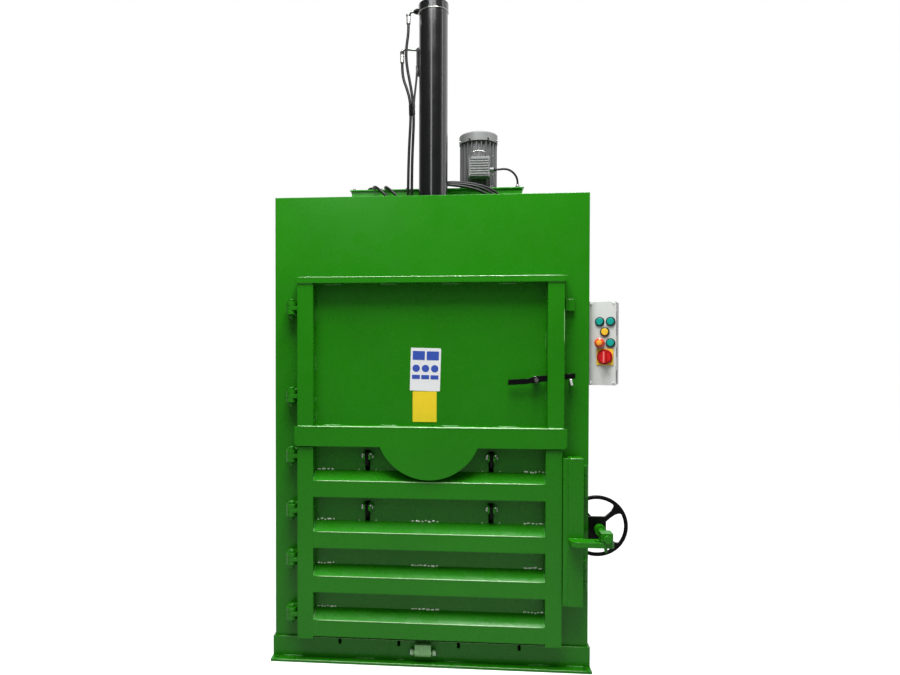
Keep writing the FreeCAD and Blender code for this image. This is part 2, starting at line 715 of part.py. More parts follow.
# ---------------------------------------------------------------- screw lock

LOCK_HINGES = ("383", "759")


def lock_hinge(name, fixed):
    """Knuckles of both lock hinges: the outer two are fixed, the middle one turns."""
    pieces = []
    steps = (-1, 1) if fixed else (0,)
    for i, height in enumerate(LOCK_HINGES):
        for step in steps:
            part = "%s_%d_%s" % (name, i + 1, "bmt"[step + 1] if fixed else "m")
            low = "%s + %d * (knuckle_tall + 2) - knuckle_tall / 2" % (height, step)
            eye = rod(part + "_eye", "z", "knuckle_radius", ("lock_across", "-lock_forward", low),
                      "knuckle_tall")
            if fixed:
                leaf = block(part + "_leaf", ("lock_across - 6", "lock_across + 6"),
                             ("-lock_forward", "-frame_front"),
                             (low, low + " + knuckle_tall"))
                radius = "lock_pin_radius"
            else:
                leaf = block(part + "_leaf", ("lock_across - 14", "lock_across"),
                             ("-lock_forward - 10", "-lock_forward + 4"), (low, low + " + knuckle_tall"))
                radius = "lock_pin_radius + running_gap"
            bore = rod(part + "_bore", "z", radius, ("lock_across", "-lock_forward", low + " - 1"),
                       "knuckle_tall + 2")
            pieces.append(cut(part, fuse(part + "_blank", eye, leaf), bore))
    return pieces


def lock_pins():
    pins = []
    for i, height in enumerate(LOCK_HINGES):
        low = "%s - 1.5 * knuckle_tall - 5" % height
        pins.append(rod("lock_hinge_pin_%d" % (i + 1), "z", "lock_pin_radius",
                        ("lock_across", "-lock_forward", low), "3 * knuckle_tall + 10"))
    return pins


def lock_bar():
    """Tube with a stepped nose beside the lower door's edge, its tongue and moving knuckles."""
    outline = [("lower_right + 2", "-524"), ("lower_right + 22", "-524"), ("lower_right + 22", "-530"),
               ("lock_across - 14", "-530"), ("lock_across - 14", "-472"), ("lower_right + 22", "-472"),
               ("lower_right + 22", "-512"), ("lower_right + 2", "-512")]
    tube = extrude("lock_tube", "XY", [outline], "lock_high - lock_low", ("0", "0", "lock_low"))
    right = "spindle_across + 27"
    corner = 8
    tongue_outline = [(right + " - %d" % corner, "-tongue_forward - 28"),
                      (right, "-tongue_forward - 28 + %d" % corner),
                      (right, "-tongue_forward + 30"), ("546", "-tongue_forward + 30"), ("546",
                                                                                         "-tongue_forward + 4")]
    for step in range(5):
        turn = math.radians(18 * (step + 1))
        tongue_outline.append(("578 - %.3f" % (32 * math.cos(turn)),
                               "-tongue_forward + 4 - %.3f" % (32 * math.sin(turn))))
    slot = rectangle(("spindle_across - 43", "spindle_across + link_pin + 3"),
                     ("-tongue_forward - link_pin - slot_gap", "-tongue_forward + link_pin + slot_gap"))
    tongue = extrude("lock_tongue", "XY", [tongue_outline, slot], "tongue_thick", ("0", "0", "tongue_low"))
    return fuse("lock_bar", tube, tongue, *lock_hinge("lock_swing", False))


def nut_bracket():
    """Plate on the front sheet's folded edge that holds the screw's nut."""
    plate = block("nut_plate", ("frame_half", "spindle_across + 26"), ("-440", "-428"),
                  ("spindle_high - 55", "spindle_high + 50"))
    bore = rod("nut_plate_bore", "y", "22", ("spindle_across", "-441", "spindle_high"), "14")
    return cut("nut_bracket", plate, bore)


def screw_nut():
    bored = [("spindle_radius + running_gap", "0"), ("22", "0"), ("22", "60"),
             ("spindle_radius + running_gap", "60")]
    return revolve("screw_nut", bored, ("spindle_across", "-468", "spindle_high"), "y")


def screw_clevis():
    """Swivel block at the screw's front end, with the pin that works the tongue."""
    y = ("-tongue_forward - 26", "-tongue_forward + 26")
    body = block("clevis_block", ("spindle_across - 22", "spindle_across + 22"), y,
                 ("tongue_low + tongue_thick + 2", "spindle_high + 20"))
    bore = rod("clevis_bore", "y", "spindle_radius + running_gap",
               ("spindle_across", "-tongue_forward - 27", "spindle_high"), "54")
    pin = revolve("link_pin", [("0", "-24"), ("link_pin - 4", "-24"), ("link_pin", "0"),
                               ("link_pin", "tongue_thick + 3"),
                               ("0", "tongue_thick + 3")],
                  ("spindle_across", "-tongue_forward", "tongue_low"))
    return fuse("screw_clevis", cut("clevis_bored", body, bore), pin)


def lock_screw():
    """Threaded spindle; a collar each side of the clevis holds it endways."""
    y_front = "-tongue_forward - 42"
    shank = rod("screw_shank", "y", "spindle_radius", ("spindle_across", y_front, "spindle_high"),
                "tongue_forward + 42 - wheel_forward + 20")
    front = rod("screw_head", "y", "collar_radius", ("spindle_across", y_front, "spindle_high"), "15")
    rear = rod("screw_collar", "y", "collar_radius", ("spindle_across", "-tongue_forward + 27",
                                                      "spindle_high"), "10")
    return fuse("lock_screw", shank, front, rear)


def handwheel():
    """Cast wheel: round rim, hub and four spokes that widen at both ends."""
    rim = doc.addObject("Part::Torus", "wheel_rim")
    rim.Placement = Placement(Vector(), ALONG["y"])
    rim.setExpression("Radius1", bound("wheel_radius"))
    rim.setExpression("Radius2", bound("rim_radius"))
    move(rim, "spindle_across", "-wheel_forward", "spindle_high")
    pieces = [rim, rod("wheel_hub", "y", "22", ("spindle_across", "-wheel_forward - 14", "spindle_high"),
                       "28")]
    half = [("spoke_half * 2", "10"), ("spoke_half * 1.15", "0.31 * wheel_radius"),
            ("spoke_half", "0.52 * wheel_radius"),
            ("spoke_half * 1.2", "0.72 * wheel_radius"), ("spoke_half * 1.9", "0.85 * wheel_radius"),
            ("spoke_half * 3", "0.93 * wheel_radius"), ("spoke_half * 3", "0.98 * wheel_radius")]
    flared = half + [("-(%s)" % across, up) for across, up in reversed(half)]
    for i in range(4):
        spoke = extrude("wheel_spoke_%d" % (i + 1), "XZ", [flared], "spoke_thick")
        spoke.Placement = Placement(Vector(), Rotation(Vector(0, 1, 0), 50 + 90 * i))
        move(spoke, "spindle_across", "-wheel_forward + spoke_thick / 2", "spindle_high")
        pieces.append(spoke)
    bore = rod("wheel_bore", "y", "spindle_radius", ("spindle_across", "-wheel_forward - 20",
                                                     "spindle_high"), "60")
    return cut("handwheel", fuse("wheel_casting", *pieces), bore)


node("lock_hinges", together("lock_hinges", *lock_hinge("lock_fixed", True)))
node("hinge_pins", together("hinge_pins", *(hinge_pins() + lock_pins())))
node("lock_bar", lock_bar())
node("nut_bracket", nut_bracket())
node("screw_nut", screw_nut())
node("screw_clevis", screw_clevis())
node("lock_screw", lock_screw())
node("handwheel", handwheel())


# ---------------------------------------------------------------- press

def cylinder_flange():
    plate = block("flange_plate", ("-flange_half", "flange_half"), ("-flange_half", "flange_half"),
                  ("frame_top", "flange_high"))
    bore = rod("flange_bore", "z", "barrel_bore", ("0", "0", "frame_top - 1"), "flange_thick + 2")
    return cut("cylinder_flange", plate, bore)


def cylinder_barrel():
    outline = [("barrel_bore", "flange_high"), ("barrel_radius", "flange_high"),
               ("barrel_radius", "barrel_high"), ("barrel_bore", "barrel_high")]
    tube = revolve("barrel_tube", outline, ("0", "0", "0"))
    tab = block("barrel_tab", ("-barrel_radius - tab_proud", "-barrel_radius + 6"),
                ("-tab_half", "tab_half"),
                ("tab_low", "tab_low + tab_tall"))
    return fuse("cylinder_barrel", tube, tab)


def rod_gland():
    """Sleeve that guides the rod, seated in the barrel's foot."""
    outline = [("rod_radius + running_gap", "0"), ("barrel_bore", "0"), ("barrel_bore", "70"),
               ("rod_radius + running_gap", "70")]
    return revolve("rod_gland", outline, ("0", "0", "frame_top"))


def cylinder_cap():
    outline = [("0", "0"), ("barrel_radius + cap_proud", "0"),
               ("barrel_radius + cap_proud", "cap_thick - 2"),
               ("barrel_radius + cap_proud - 2", "cap_thick"), ("0", "cap_thick")]
    return revolve("cylinder_cap", outline, ("0", "0", "barrel_high"))


def press_piston():
    outline = [("rod_radius", "0"), ("barrel_bore - running_gap", "0"),
               ("barrel_bore - running_gap", "piston_tall"), ("rod_radius", "piston_tall")]
    return revolve("press_piston", outline, ("0", "0", "piston_low"))


def piston_rod():
    outline = [("0", "0"), ("rod_radius + 35", "0"), ("rod_radius + 35", "20"), ("rod_radius", "20"),
               ("rod_radius", "piston_low + piston_tall - platen_low - platen_thick"),
               ("0", "piston_low + piston_tall - platen_low - platen_thick")]
    return revolve("piston_rod", outline, ("0", "0", "platen_low + platen_thick"))


def press_platen():
    """Plate with beams welded on its back, clear of the rod's foot."""
    pieces = [block("platen_plate", ("-platen_half", "platen_half"), ("-platen_reach", "platen_reach"),
                    ("platen_low", "platen_low + platen_thick"))]
    tall = ("platen_low + platen_thick", "platen_low + platen_thick + platen_beam")
    for i, middle in enumerate(("-300", "-130", "130", "300")):
        pieces.append(block("platen_beam_%d" % (i + 1), ("-platen_half + 20", "platen_half - 20"),
                            (middle + " - 30", middle + " + 30"), tall))
    for i, (low, high) in enumerate((("-platen_half + 20", "-platen_half + 50"),
                                     ("platen_half - 50", "platen_half - 20"))):
        pieces.append(block("platen_side_%d" % (i + 1), (low, high), ("-330", "330"), tall))
    return fuse("press_platen", *pieces)


node("cylinder_flange", cylinder_flange())
node("cylinder_barrel", cylinder_barrel())
node("rod_gland", rod_gland())
node("cylinder_cap", cylinder_cap())
node("press_piston", press_piston())
node("piston_rod", piston_rod())
node("press_platen", press_platen())


# ---------------------------------------------------------------- ejector

def leaf_stack(name, left, count):
    """Hinge leaves side by side, with a shallow groove between two."""
    pieces = []
    for i in range(count):
        start = "%s + %d * (leaf_thick + leaf_groove)" % (left, i)
        layers = [("leaf", start, "leaf_thick", "eject_knuckle")]
        if i + 1 < count:
            layers.append(("groove", start + " + leaf_thick", "leaf_groove", "eject_knuckle - 2.5"))
        for kind, at, thick, reach in layers:
            part = "%s_%s_%d" % (name, kind, i + 1)
            pieces.append(rod(part + "_eye", "x", reach, (at, "-eject_forward", "eject_high"), thick))
            pieces.append(block(part + "_back", (at, "%s + %s" % (at, thick)),
                                ("-eject_forward - (%s)" % reach, "-eject_forward + 10"),
                                ("eject_high", "eject_high + leaf_tall")))
    return pieces


def ejector_brackets():
    """Outer leaves on the base's front, and the hinge bolt with its heads."""
    pieces = []
    wide = "2 * leaf_thick + leaf_groove"
    for i, left in enumerate(("eject_across - eject_arm / 2 - 1 - (%s)" % wide,
                              "eject_across + eject_arm / 2 + 1")):
        pieces += leaf_stack("eject_ear_%d" % (i + 1), left, 2)
        pieces.append(block("eject_ear_%d_foot" % (i + 1), (left, "%s + %s" % (left, wide)),
                            ("-eject_forward", "-base_front"), ("eject_high - 14",
                                                                "eject_high + leaf_tall - 6")))
    bolt = rod("eject_bolt", "x", "eject_pin", ("eject_across - 46", "-eject_forward", "eject_high"), "92")
    heads = [rod("eject_bolt_head_%d" % (i + 1), "x", "eject_pin + 4",
                 ("eject_across %s" % along, "-eject_forward", "eject_high"), "9")
             for i, along in enumerate(("- 48", "+ 39"))]
    return fuse("ejector_bracket", bolt, *(pieces + heads))


def ejector_arm():
    """Plate on the chamber floor whose front end is the middle leaves of the hinge."""
    low = "base_top + 1"
    half = "eject_arm / 2"
    plate = block("eject_plate", ("eject_across - eject_half", "eject_across + eject_half"),
                  ("-eject_forward + 66", "eject_rear"), (low, low + " + eject_thick"))
    web_outline = [("-eject_forward", "eject_high - 8"), ("-eject_forward + 106", "eject_high - 8"),
                   ("-eject_forward + 106", low), ("-eject_forward + 74", low + " + eject_thick"),
                   ("-eject_forward + 42", "eject_high + 20"), ("-eject_forward", "eject_high + 12")]
    web = extrude("eject_web", "YZ", [web_outline], "eject_arm", ("eject_across - " + half, "0", "0"))
    leaves = leaf_stack("eject_arm", "eject_across - " + half, 5)
    bore = rod("eject_bore", "x", "eject_pin + running_gap", ("eject_across - eject_arm", "-eject_forward",
                                                              "eject_high"),
               "2 * eject_arm")
    return cut("bale_ejector", fuse("eject_weldment", plate, web, *leaves), bore)


node("ejector_bracket", ejector_brackets())
node("bale_ejector", ejector_arm())


# ---------------------------------------------------------------- power unit

def oil_tank():
    tank = block("tank_shell", ("-tank_left", "tank_right"), ("tank_front", "tank_rear"),
                 ("frame_top", "tank_high - 6"))
    lid = block("tank_lid", ("-tank_left - 8", "tank_right + 8"), ("tank_front - 8", "tank_rear + 8"),
                ("tank_high - 6", "tank_high"))
    return fuse("oil_tank", tank, lid)


def filler_cap():
    outline = [("0", "0"), ("32", "0"), ("32", "12"), ("26", "14"), ("26", "40"), ("20", "46"), ("0", "46")]
    return revolve("filler_cap", outline, ("-320", "300", "tank_high"))


def motor_body():
    """Finned stator housing on its flange, with the shaft bore."""
    flange = rod("motor_flange", "z", "motor_radius + 18", ("motor_across", "motor_back", "tank_high"), "14")
    core = rod("motor_core", "z", "motor_radius", ("motor_across", "motor_back", "tank_high"),
               "motor_high - tank_high")
    shield = rod("motor_shield", "z", "cowl_radius - cowl_wall",
                 ("motor_across", "motor_back", "motor_high - shield_tall"), "shield_tall")
    pieces = [flange, core, shield]
    for i in range(12):
        fin = doc.addObject("Part::Box", "motor_fin_%d" % (i + 1))
        fin.setExpression("Length", bound("2 * motor_radius + 2 * fin_reach"))
        fin.Width = 4
        fin.setExpression("Height", bound("motor_high - tank_high - 42"))
        turn = Rotation(Vector(0, 0, 1), 15 * i + 7.5)
        fin.Placement = Placement(Vector(), turn)
        reach = "(motor_radius + fin_reach)"
        angle = "(%g deg)" % (15 * i + 7.5)
        move(fin, "motor_across - %s * cos%s + 2 * sin%s" % (reach, angle, angle),
             "motor_back - %s * sin%s - 2 * cos%s" % (reach, angle, angle), "tank_high + 20")
        pieces.append(fin)
    bore = rod("motor_bore", "z", "shaft_radius + running_gap",
               ("motor_across", "motor_back", "motor_high - shaft_deep - 2"), "shaft_deep + 3")
    return cut("motor_body", fuse("motor_casting", *pieces), bore)


def fan_cowl():
    tall = "cowl_high - motor_high + shield_tall"
    outline = [("cowl_radius - cowl_wall", "0"), ("cowl_radius", "0"),
               ("cowl_radius", tall + " - cowl_round"),
               ("cowl_radius - cowl_round", tall), ("0", tall), ("0", tall + " - cowl_wall"),
               ("cowl_radius - cowl_round - 1", tall + " - cowl_wall"),
               ("cowl_radius - cowl_wall", tall + " - cowl_round - 1")]
    return revolve("fan_cowl", outline, ("motor_across", "motor_back", "motor_high - shield_tall"))


def motor_fan():
    """Shaft end and fan under the cowl."""
    pieces = [rod("rotor_shaft", "z", "shaft_radius", ("motor_across", "motor_back",
                                                       "motor_high - shaft_deep"),
                  "shaft_deep + fan_tall + 2"),
              rod("fan_hub", "z", "2 * shaft_radius", ("motor_across", "motor_back", "motor_high + 2"),
                  "fan_tall")]
    for i in range(3):
        blade = doc.addObject("Part::Box", "fan_blade_%d" % (i + 1))
        blade.Width = 3
        blade.setExpression("Length", bound("2 * fan_reach"))
        blade.setExpression("Height", bound("fan_tall - 2"))
        angle = 60 * i
        blade.Placement = Placement(Vector(), Rotation(Vector(0, 0, 1), angle))
        move(blade, "motor_across - fan_reach * cos(%d deg) + 1.5 * sin(%d deg)" % (angle, angle),
             "motor_back - fan_reach * sin(%d deg) - 1.5 * cos(%d deg)" % (angle, angle), "motor_high + 3")
        pieces.append(blade)
    return fuse("motor_fan", *pieces)


def terminal_box():
    back = "motor_back - motor_radius - fin_reach"
    across = ("motor_across - term_half", "motor_across + term_half")
    shell = block("terminal_shell", across, (back + " - term_deep + 14", back), ("term_low", "term_high"))
    lid = block("terminal_lid", ("motor_across - term_half + 4", "motor_across + term_half - 4"),
                (back + " - term_deep", back + " - term_deep + 14"), ("term_low + 4", "term_high - 4"))
    gland = rod("cable_gland", "x", "11", ("motor_across + term_half", back + " - 20", "term_low + 40"),
                "20")
    ribs = [block("terminal_rib_%d" % (i + 1), ("motor_across - term_half + 8",
                                                "motor_across + term_half - 8"),
                  (back + " - term_deep - 3", back + " - term_deep"),
                  ("term_low + 12 + %d * term_pitch" % i,
                   "term_low + 17 + %d * term_pitch" % i)) for i in range(7)]
    return fuse("terminal_box", shell, lid, gland, *ribs)


def valve_block():
    """Ported block on the tank lid with two coils, and the port block on the tank's front."""
    body = block("valve_body", ("-valve_left", "valve_right"), ("valve_front", "valve_front + valve_deep"),
                 ("tank_high", "tank_high + valve_tall"))
    coils = [rod("valve_coil_%d" % (i + 1), "y", "20", (across, "valve_front + valve_deep",
                                                        "tank_high + 32"), "60")
             for i, across in enumerate(("-valve_left + 28", "valve_right - 28"))]
    ports = block("port_block", ("-148", "-72"), ("port_front", "tank_front"),
                  ("port_high - 16", "port_high + 22"))
    return together("valve_block", fuse("valve_assembly", body, *coils), ports)


def tube_path(points):
    """Straight runs joined by tangent arcs, each as large as its two runs allow."""
    edges = []
    start = points[0]
    radii = []
    for before, corner, after in zip(points, points[1:], points[2:]):
        back = (before - corner).normalize()
        ahead = (after - corner).normalize()
        shorter = min((before - corner).Length, (after - corner).Length)
        turn = math.pi - back.getAngle(ahead)
        trim = 0.45 * shorter
        radii.append(trim / math.tan(turn / 2))
        entry = corner + back * trim
        leave = corner + ahead * trim
        bisector = (back + ahead).normalize()
        middle = corner + bisector * (radii[-1] / math.cos(turn / 2) - radii[-1])
        edges.append(Part.LineSegment(start, entry).toShape())
        edges.append(Part.Arc(entry, middle, leave).toShape())
        start = leave
    edges.append(Part.LineSegment(start, points[-1]).toShape())
    return Part.Wire(edges), radii


def hose(name, routes, radius):
    """Hoses along their routes; prints each one's length and arc radii."""
    solids = []
    for route in routes:
        points = [Vector(*point) for point in route]
        path, radii = tube_path(points)
        ring = Part.Wire([Part.Circle(points[0], points[1] - points[0], radius).toShape()])
        solids.append(path.makePipeShell([ring], True, False))
        expected = math.pi * radius ** 2 * path.Length
        print("%s: %.0f mm long, volume over section times length %.4f, radii %s"
              % (name, path.Length, solids[-1].Volume / expected,
                 " ".join("%.0f" % value for value in radii)))
    piece = doc.addObject("Part::Feature", name)
    piece.Shape = solids[0] if len(solids) == 1 else Part.makeCompound(solids)
    return piece


UPPER_HOSE = [
    (-117, 0, 2801), (-117, 0, 2762), (-124, 1, 2716), (-129, 3, 2664), (-124, 5, 2604), (-112, 6, 2542),
    (-100, 6, 2476), (-93, 6, 2405), (-92, 6, 2340), (-95, 7, 2270), (-98, 9, 2200), (-100, 12, 2130),
    (-101, 14, 2060), (-101, 15, 2002), (-101, 35, 1967), (-101, 70, 1947), (-101, 110, 1947)]
LOWER_HOSE = [
    (-149, 40, 2637), (-149, 40, 2600), (-142, 37, 2556), (-126, 31, 2512), (-112, 24, 2462), (-107, 19,
                                                                                               2405),
    (-108, 17, 2340), (-112, 16, 2270), (-115, 16, 2200), (-117, 15, 2130), (-118, 14, 2060), (-119, 15,
                                                                                               2002),
    (-119, 35, 1967), (-119, 70, 1947), (-119, 110, 1947)]
RETURN_HOSES = [
    [(30, 200, 2092), (30, 168, 2092), (50, 132, 2090), (86, 112, 2087), (127, 112, 2085), (170, 112, 2081),
     (212, 112, 2073), (252, 112, 2060), (290, 112, 2041), (322, 112, 2016), (345, 112, 1986), (359, 112,
                                                                                                1952),
     (359, 112, 1920)],
    [(2, 200, 2084), (2, 166, 2084), (27, 123, 2083), (70, 98, 2079), (112, 98, 2075), (156, 98, 2071),
     (199, 98, 2063), (240, 98, 2050), (278, 98, 2029), (308, 98, 2000), (331, 98, 1961), (331, 98, 1920)],
    [(-26, 200, 2078), (-26, 164, 2078), (3, 113, 2077), (54, 84, 2070), (98, 84, 2065), (142, 84, 2059),
     (185, 84, 2050), (226, 84, 2036), (263, 84, 2013), (291, 84, 1984), (309, 84, 1951), (309, 84, 1920)]]
DRAIN_HOSES = [
    [(-293, 180, 2080), (-293, 138, 2080), (-278, 99, 2066), (-250, 77, 2040), (-221, 76, 2010),
     (-202, 76, 1965),
     (-202, 76, 1920)],
    [(-238, 180, 2077), (-238, 138, 2077), (-223, 99, 2062), (-196, 77, 2036), (-167, 76, 2005),
     (-147, 76, 1962),
     (-147, 76, 1920)]]
MOTOR_CABLE = [
    (289, 138, 2150), (311, 138, 2150), (333, 139, 2153), (356, 141, 2151), (378, 143, 2140), (395, 145,
                                                                                               2121),
    (404, 146, 2098), (404, 146, 2073)]
HOSE_RADIUS = 6.5
CABLE_RADIUS = 5


def above(point, high):
    """A start point over a point of a route, at another height."""
    return str(point[0]), str(point[1]), high


def hose_fittings():
    """Ports, elbows and ferrules at the hoses' ends, and the glands on the lid and the deck."""
    upper_end, lower_end, cable_end = UPPER_HOSE[0], LOWER_HOSE[0], MOTOR_CABLE[-1]
    upper_level, lower_level = "barrel_high + upper_port", "barrel_high - lower_port"
    upper_port = rod("upper_port", "x", "10", ("%d" % (upper_end[0] - 10), "0", upper_level), "80")
    upper_drop = rod("upper_drop", "z", "9", above(upper_end, upper_level + " - upper_elbow"), "upper_elbow")
    lower_port = rod("lower_port", "x", "10", ("%d" % (lower_end[0] - 8), "%d" % lower_end[1], lower_level),
                     "120")
    lower_drop = rod("lower_drop", "z", "9", above(lower_end, lower_level + " - lower_elbow"), "lower_elbow")
    lid_gland = rod("lid_gland", "z", "10", above(cable_end, "tank_high"), "10")
    deck_glands = [rod("deck_gland_%d" % (i + 1), "z", "9", above(route[-1], "frame_top"), "18")
                   for i, route in enumerate(RETURN_HOSES + DRAIN_HOSES)]
    lid_elbows = []
    for i, route in enumerate(DRAIN_HOSES):
        across, deep, high = route[0]
        lid_elbows.append(block("lid_elbow_%d" % (i + 1), ("%d - 9" % across, "%d + 9" % across),
                                ("%d" % deep, "%d + 20" % deep), ("tank_high", "%d + 9" % high)))
    cap_trim = rod("cap_trim", "z", "barrel_radius + cap_proud", ("0", "0", "barrel_high"), "cap_thick")
    barrel_trim = rod("barrel_trim", "z", "barrel_radius", ("0", "0", lower_level + " - 90"), "180")
    left = cut("upper_elbow", fuse("upper_elbow_blank", upper_port, upper_drop), cap_trim)
    right = cut("lower_elbow", fuse("lower_elbow_blank", lower_port, lower_drop), barrel_trim)
    return together("hose_fittings", left, right, lid_gland, *(deck_glands + lid_elbows))


node("oil_tank", oil_tank())
node("filler_cap", filler_cap())
node("motor_body", motor_body())
node("fan_cowl", fan_cowl())
node("motor_fan", motor_fan())
node("terminal_box", terminal_box())
node("valve_block", valve_block())
node("hose_fittings", hose_fittings())


# ---------------------------------------------------------------- control box

BUTTONS = (("teal_button_1", "43", "254"), ("teal_button_2", "85", "254"), ("yellow_button", "63", "213"),
           ("teal_button_3", "85", "169"))
STOP_BUTTON = ("45", "169")
SWITCH = ("64", "113")


def turned(piece):
    """Turn a piece made at the cover's front left corner with the control box."""
    bundle = together(piece.Name + "_turned", piece)
    bundle.setExpression("Placement.Rotation.Angle", bound("-box_turn * 1 deg"))
    move(bundle, "box_left", "-box_forward", "0")
    return bundle


def control_box():
    shell = block("control_shell", ("2", "box_wide - 2"), ("cover_thick", "box_deep"),
                  ("box_low + 2", "box_low + box_tall - 2"))
    arms = []
    for i, up in enumerate(("60", "266")):
        arms.append(block("box_arm_%d" % (i + 1), ("side_half", "box_left + 25"),
                          ("-box_forward + 30", "-box_forward + 60"), ("box_low + " + up,
                                                                       "box_low + 8 + " + up)))
    return fuse("control_box", turned(shell), *arms)


def control_cover():
    """Front cover with a bezel round each control; the wells behind them are open."""
    plate = block("cover_plate", ("0", "box_wide"), ("0", "cover_thick"), ("box_low", "box_low + box_tall"))
    bezels = []
    wells = []
    for i, (across, up) in enumerate([(a, b) for _, a, b in BUTTONS] + [STOP_BUTTON]):
        z = "box_low + " + up
        bezels.append(rod("bezel_%d" % (i + 1), "y", "bezel_radius", (across, "-4", z), "5"))
        wells.append(rod("well_%d" % (i + 1), "y", "button_radius + 0.4", (across, "-5", z),
                         "cover_thick + 6"))
    x, z = SWITCH[0], "box_low + " + SWITCH[1]
    bezels.append(block("switch_plate", (x + " - 32", x + " + 32"), ("-3", "1"), (z + " - 32", z + " + 32")))
    wells.append(rod("switch_well", "y", "8", (x, "-5", z), "cover_thick + 6"))
    return turned(cut("cover_cut", fuse("cover_blank", plate, *bezels), *wells))


def pushbutton(name, across, up):
    outline = [("0", "0"), ("button_radius", "0"), ("button_radius", "button_out + 2"),
               ("button_radius - 2", "button_out + 4"), ("0", "button_out + 4")]
    body = revolve(name + "_body", outline, (across, "8", "box_low + " + up), "y")
    body.Placement = Placement(Vector(), Rotation(Vector(1, 0, 0), 90))
    return turned(body)


def stop_button():
    outline = [("0", "0"), ("button_radius", "0"), ("button_radius", "20"), ("19", "22"), ("19", "32"),
               ("13", "37"), ("0", "38")]
    across, up = STOP_BUTTON
    body = revolve("stop_button_body", outline, (across, "8", "box_low + " + up), "y")
    body.Placement = Placement(Vector(), Rotation(Vector(1, 0, 0), 90))
    return turned(body)


def main_switch():
    across, up = SWITCH
    z = "box_low + " + up
    stem = rod("switch_stem", "y", "7.95", (across, "-4", z), "15")
    dial = rod("switch_dial", "y", "24", (across, "-16", z), "12")
    bar = block("switch_bar", (across + " - 7", across + " + 7"), ("-34", "-15"), (z + " - 24", z + " + 24"))
    return turned(fuse("switch_knob", stem, dial, bar))


node("control_box", control_box())
node("control_cover", control_cover())
for name, across, up in BUTTONS:
    node(name, pushbutton(name, across, up))
node("stop_button", stop_button())
node("main_switch", main_switch())


# ---------------------------------------------------------------- hoses, then check and write

doc.recompute()
node("upper_hose", hose("upper_hose", [UPPER_HOSE], HOSE_RADIUS))
node("lower_hose", hose("lower_hose", [LOWER_HOSE] + RETURN_HOSES + DRAIN_HOSES, HOSE_RADIUS))
node("motor_cable", hose("motor_cable", [MOTOR_CABLE], CABLE_RADIUS))
doc.recompute()

for item in doc.Objects:
    if "Invalid" in item.State or "Error" in item.State:
        raise RuntimeError("%s is %s" % (item.Label, item.State))

os.makedirs("parts", exist_ok=True)
for piece in nodes:
    if piece.Shape.isNull() or not piece.Shape.isValid():
        raise RuntimeError("%s has no valid shape" % piece.Label)
    piece.Shape.exportStep("parts/%s.step" % piece.Label)
print("%d nodes" % len(nodes))
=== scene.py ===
"""Looks of the vertical recycling baler: finishes, welds, plates, hoses and the studio round it.

Metres, in the machine's own frame: +X right, -Y towards the operator, +Z up.
"""
import json
import math
import random

import bmesh
import bpy
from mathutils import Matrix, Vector


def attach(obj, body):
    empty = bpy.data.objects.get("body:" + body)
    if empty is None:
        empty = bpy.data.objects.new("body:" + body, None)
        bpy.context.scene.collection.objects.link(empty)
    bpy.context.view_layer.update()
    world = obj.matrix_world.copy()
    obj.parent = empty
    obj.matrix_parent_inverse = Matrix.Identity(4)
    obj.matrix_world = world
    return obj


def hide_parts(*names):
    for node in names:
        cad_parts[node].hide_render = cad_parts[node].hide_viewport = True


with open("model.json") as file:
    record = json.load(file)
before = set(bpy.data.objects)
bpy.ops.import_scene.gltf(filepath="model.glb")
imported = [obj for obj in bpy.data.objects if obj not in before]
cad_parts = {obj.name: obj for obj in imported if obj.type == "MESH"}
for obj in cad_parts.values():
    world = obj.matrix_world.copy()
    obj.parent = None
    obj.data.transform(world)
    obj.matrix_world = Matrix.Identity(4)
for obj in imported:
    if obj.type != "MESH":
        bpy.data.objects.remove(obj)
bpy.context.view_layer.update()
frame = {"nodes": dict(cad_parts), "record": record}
scene = bpy.context.scene
scene.view_settings.view_transform = "Standard"

# ---------- the camera and the studio

IMAGE_WIDE, IMAGE_TALL = 900, 675
CAMERA_PLACE = (0.1045, -3.28, 1.275)
CAMERA_YAW, CAMERA_PITCH, CAMERA_ROLL = 5.054, -0.916, -0.071
FOCAL_PIXELS = 696.5
CENTRE_PIXEL = (393.5, 361.3)
SENSOR_WIDE = 36.0
AMBIENT = 0.27          # the world's light on the object
STUDIO_DARK = 0.05      # what gloss mirrors in front of the machine
FLOOR_GREY = 0.4        # the floor's own colour, which the lamps light
FLOOR_GLOW = 0.9        # lifts the lit floor to white for the camera
FLOOR_REACH = 14.0
BACKDROP_WAY = (0.45, 0.89, 0.0)    # towards the middle of the bright backdrop
BACKDROP_FADE = (-0.1, 0.45)    # along that way, from dark to bright in mirrored rays
FLOOR_FADE = (-0.6, 0.6)    # the same for the floor, from front to back


def set_inputs(node, values):
    for name, value in values.items():
        node.inputs[name].default_value = value


def remap(tree, value, low, high, start=0.3, end=0.7):
    node = tree.nodes.new("ShaderNodeMapRange")
    set_inputs(node, {"From Min": start, "From Max": end, "To Min": low, "To Max": high})
    tree.links.new(value, node.inputs["Value"])
    return node.outputs["Result"]


def maths(tree, operation, first, second):
    """A maths node; each input is a number or a socket."""
    node = tree.nodes.new("ShaderNodeMath")
    node.operation = operation
    for slot, value in zip(node.inputs, (first, second)):
        if isinstance(value, float):
            slot.default_value = value
        else:
            tree.links.new(value, slot)
    return node.outputs[0]


def white_light(tree, strength=1.0):
    node = tree.nodes.new("ShaderNodeBackground")
    set_inputs(node, {"Color": (1, 1, 1, 1), "Strength": strength})
    return node


def mix_shaders(tree, factor, first, second):
    node = tree.nodes.new("ShaderNodeMixShader")
    for slot, value in zip(node.inputs, (factor, first, second)):
        tree.links.new(value, slot)
    return node.outputs[0]


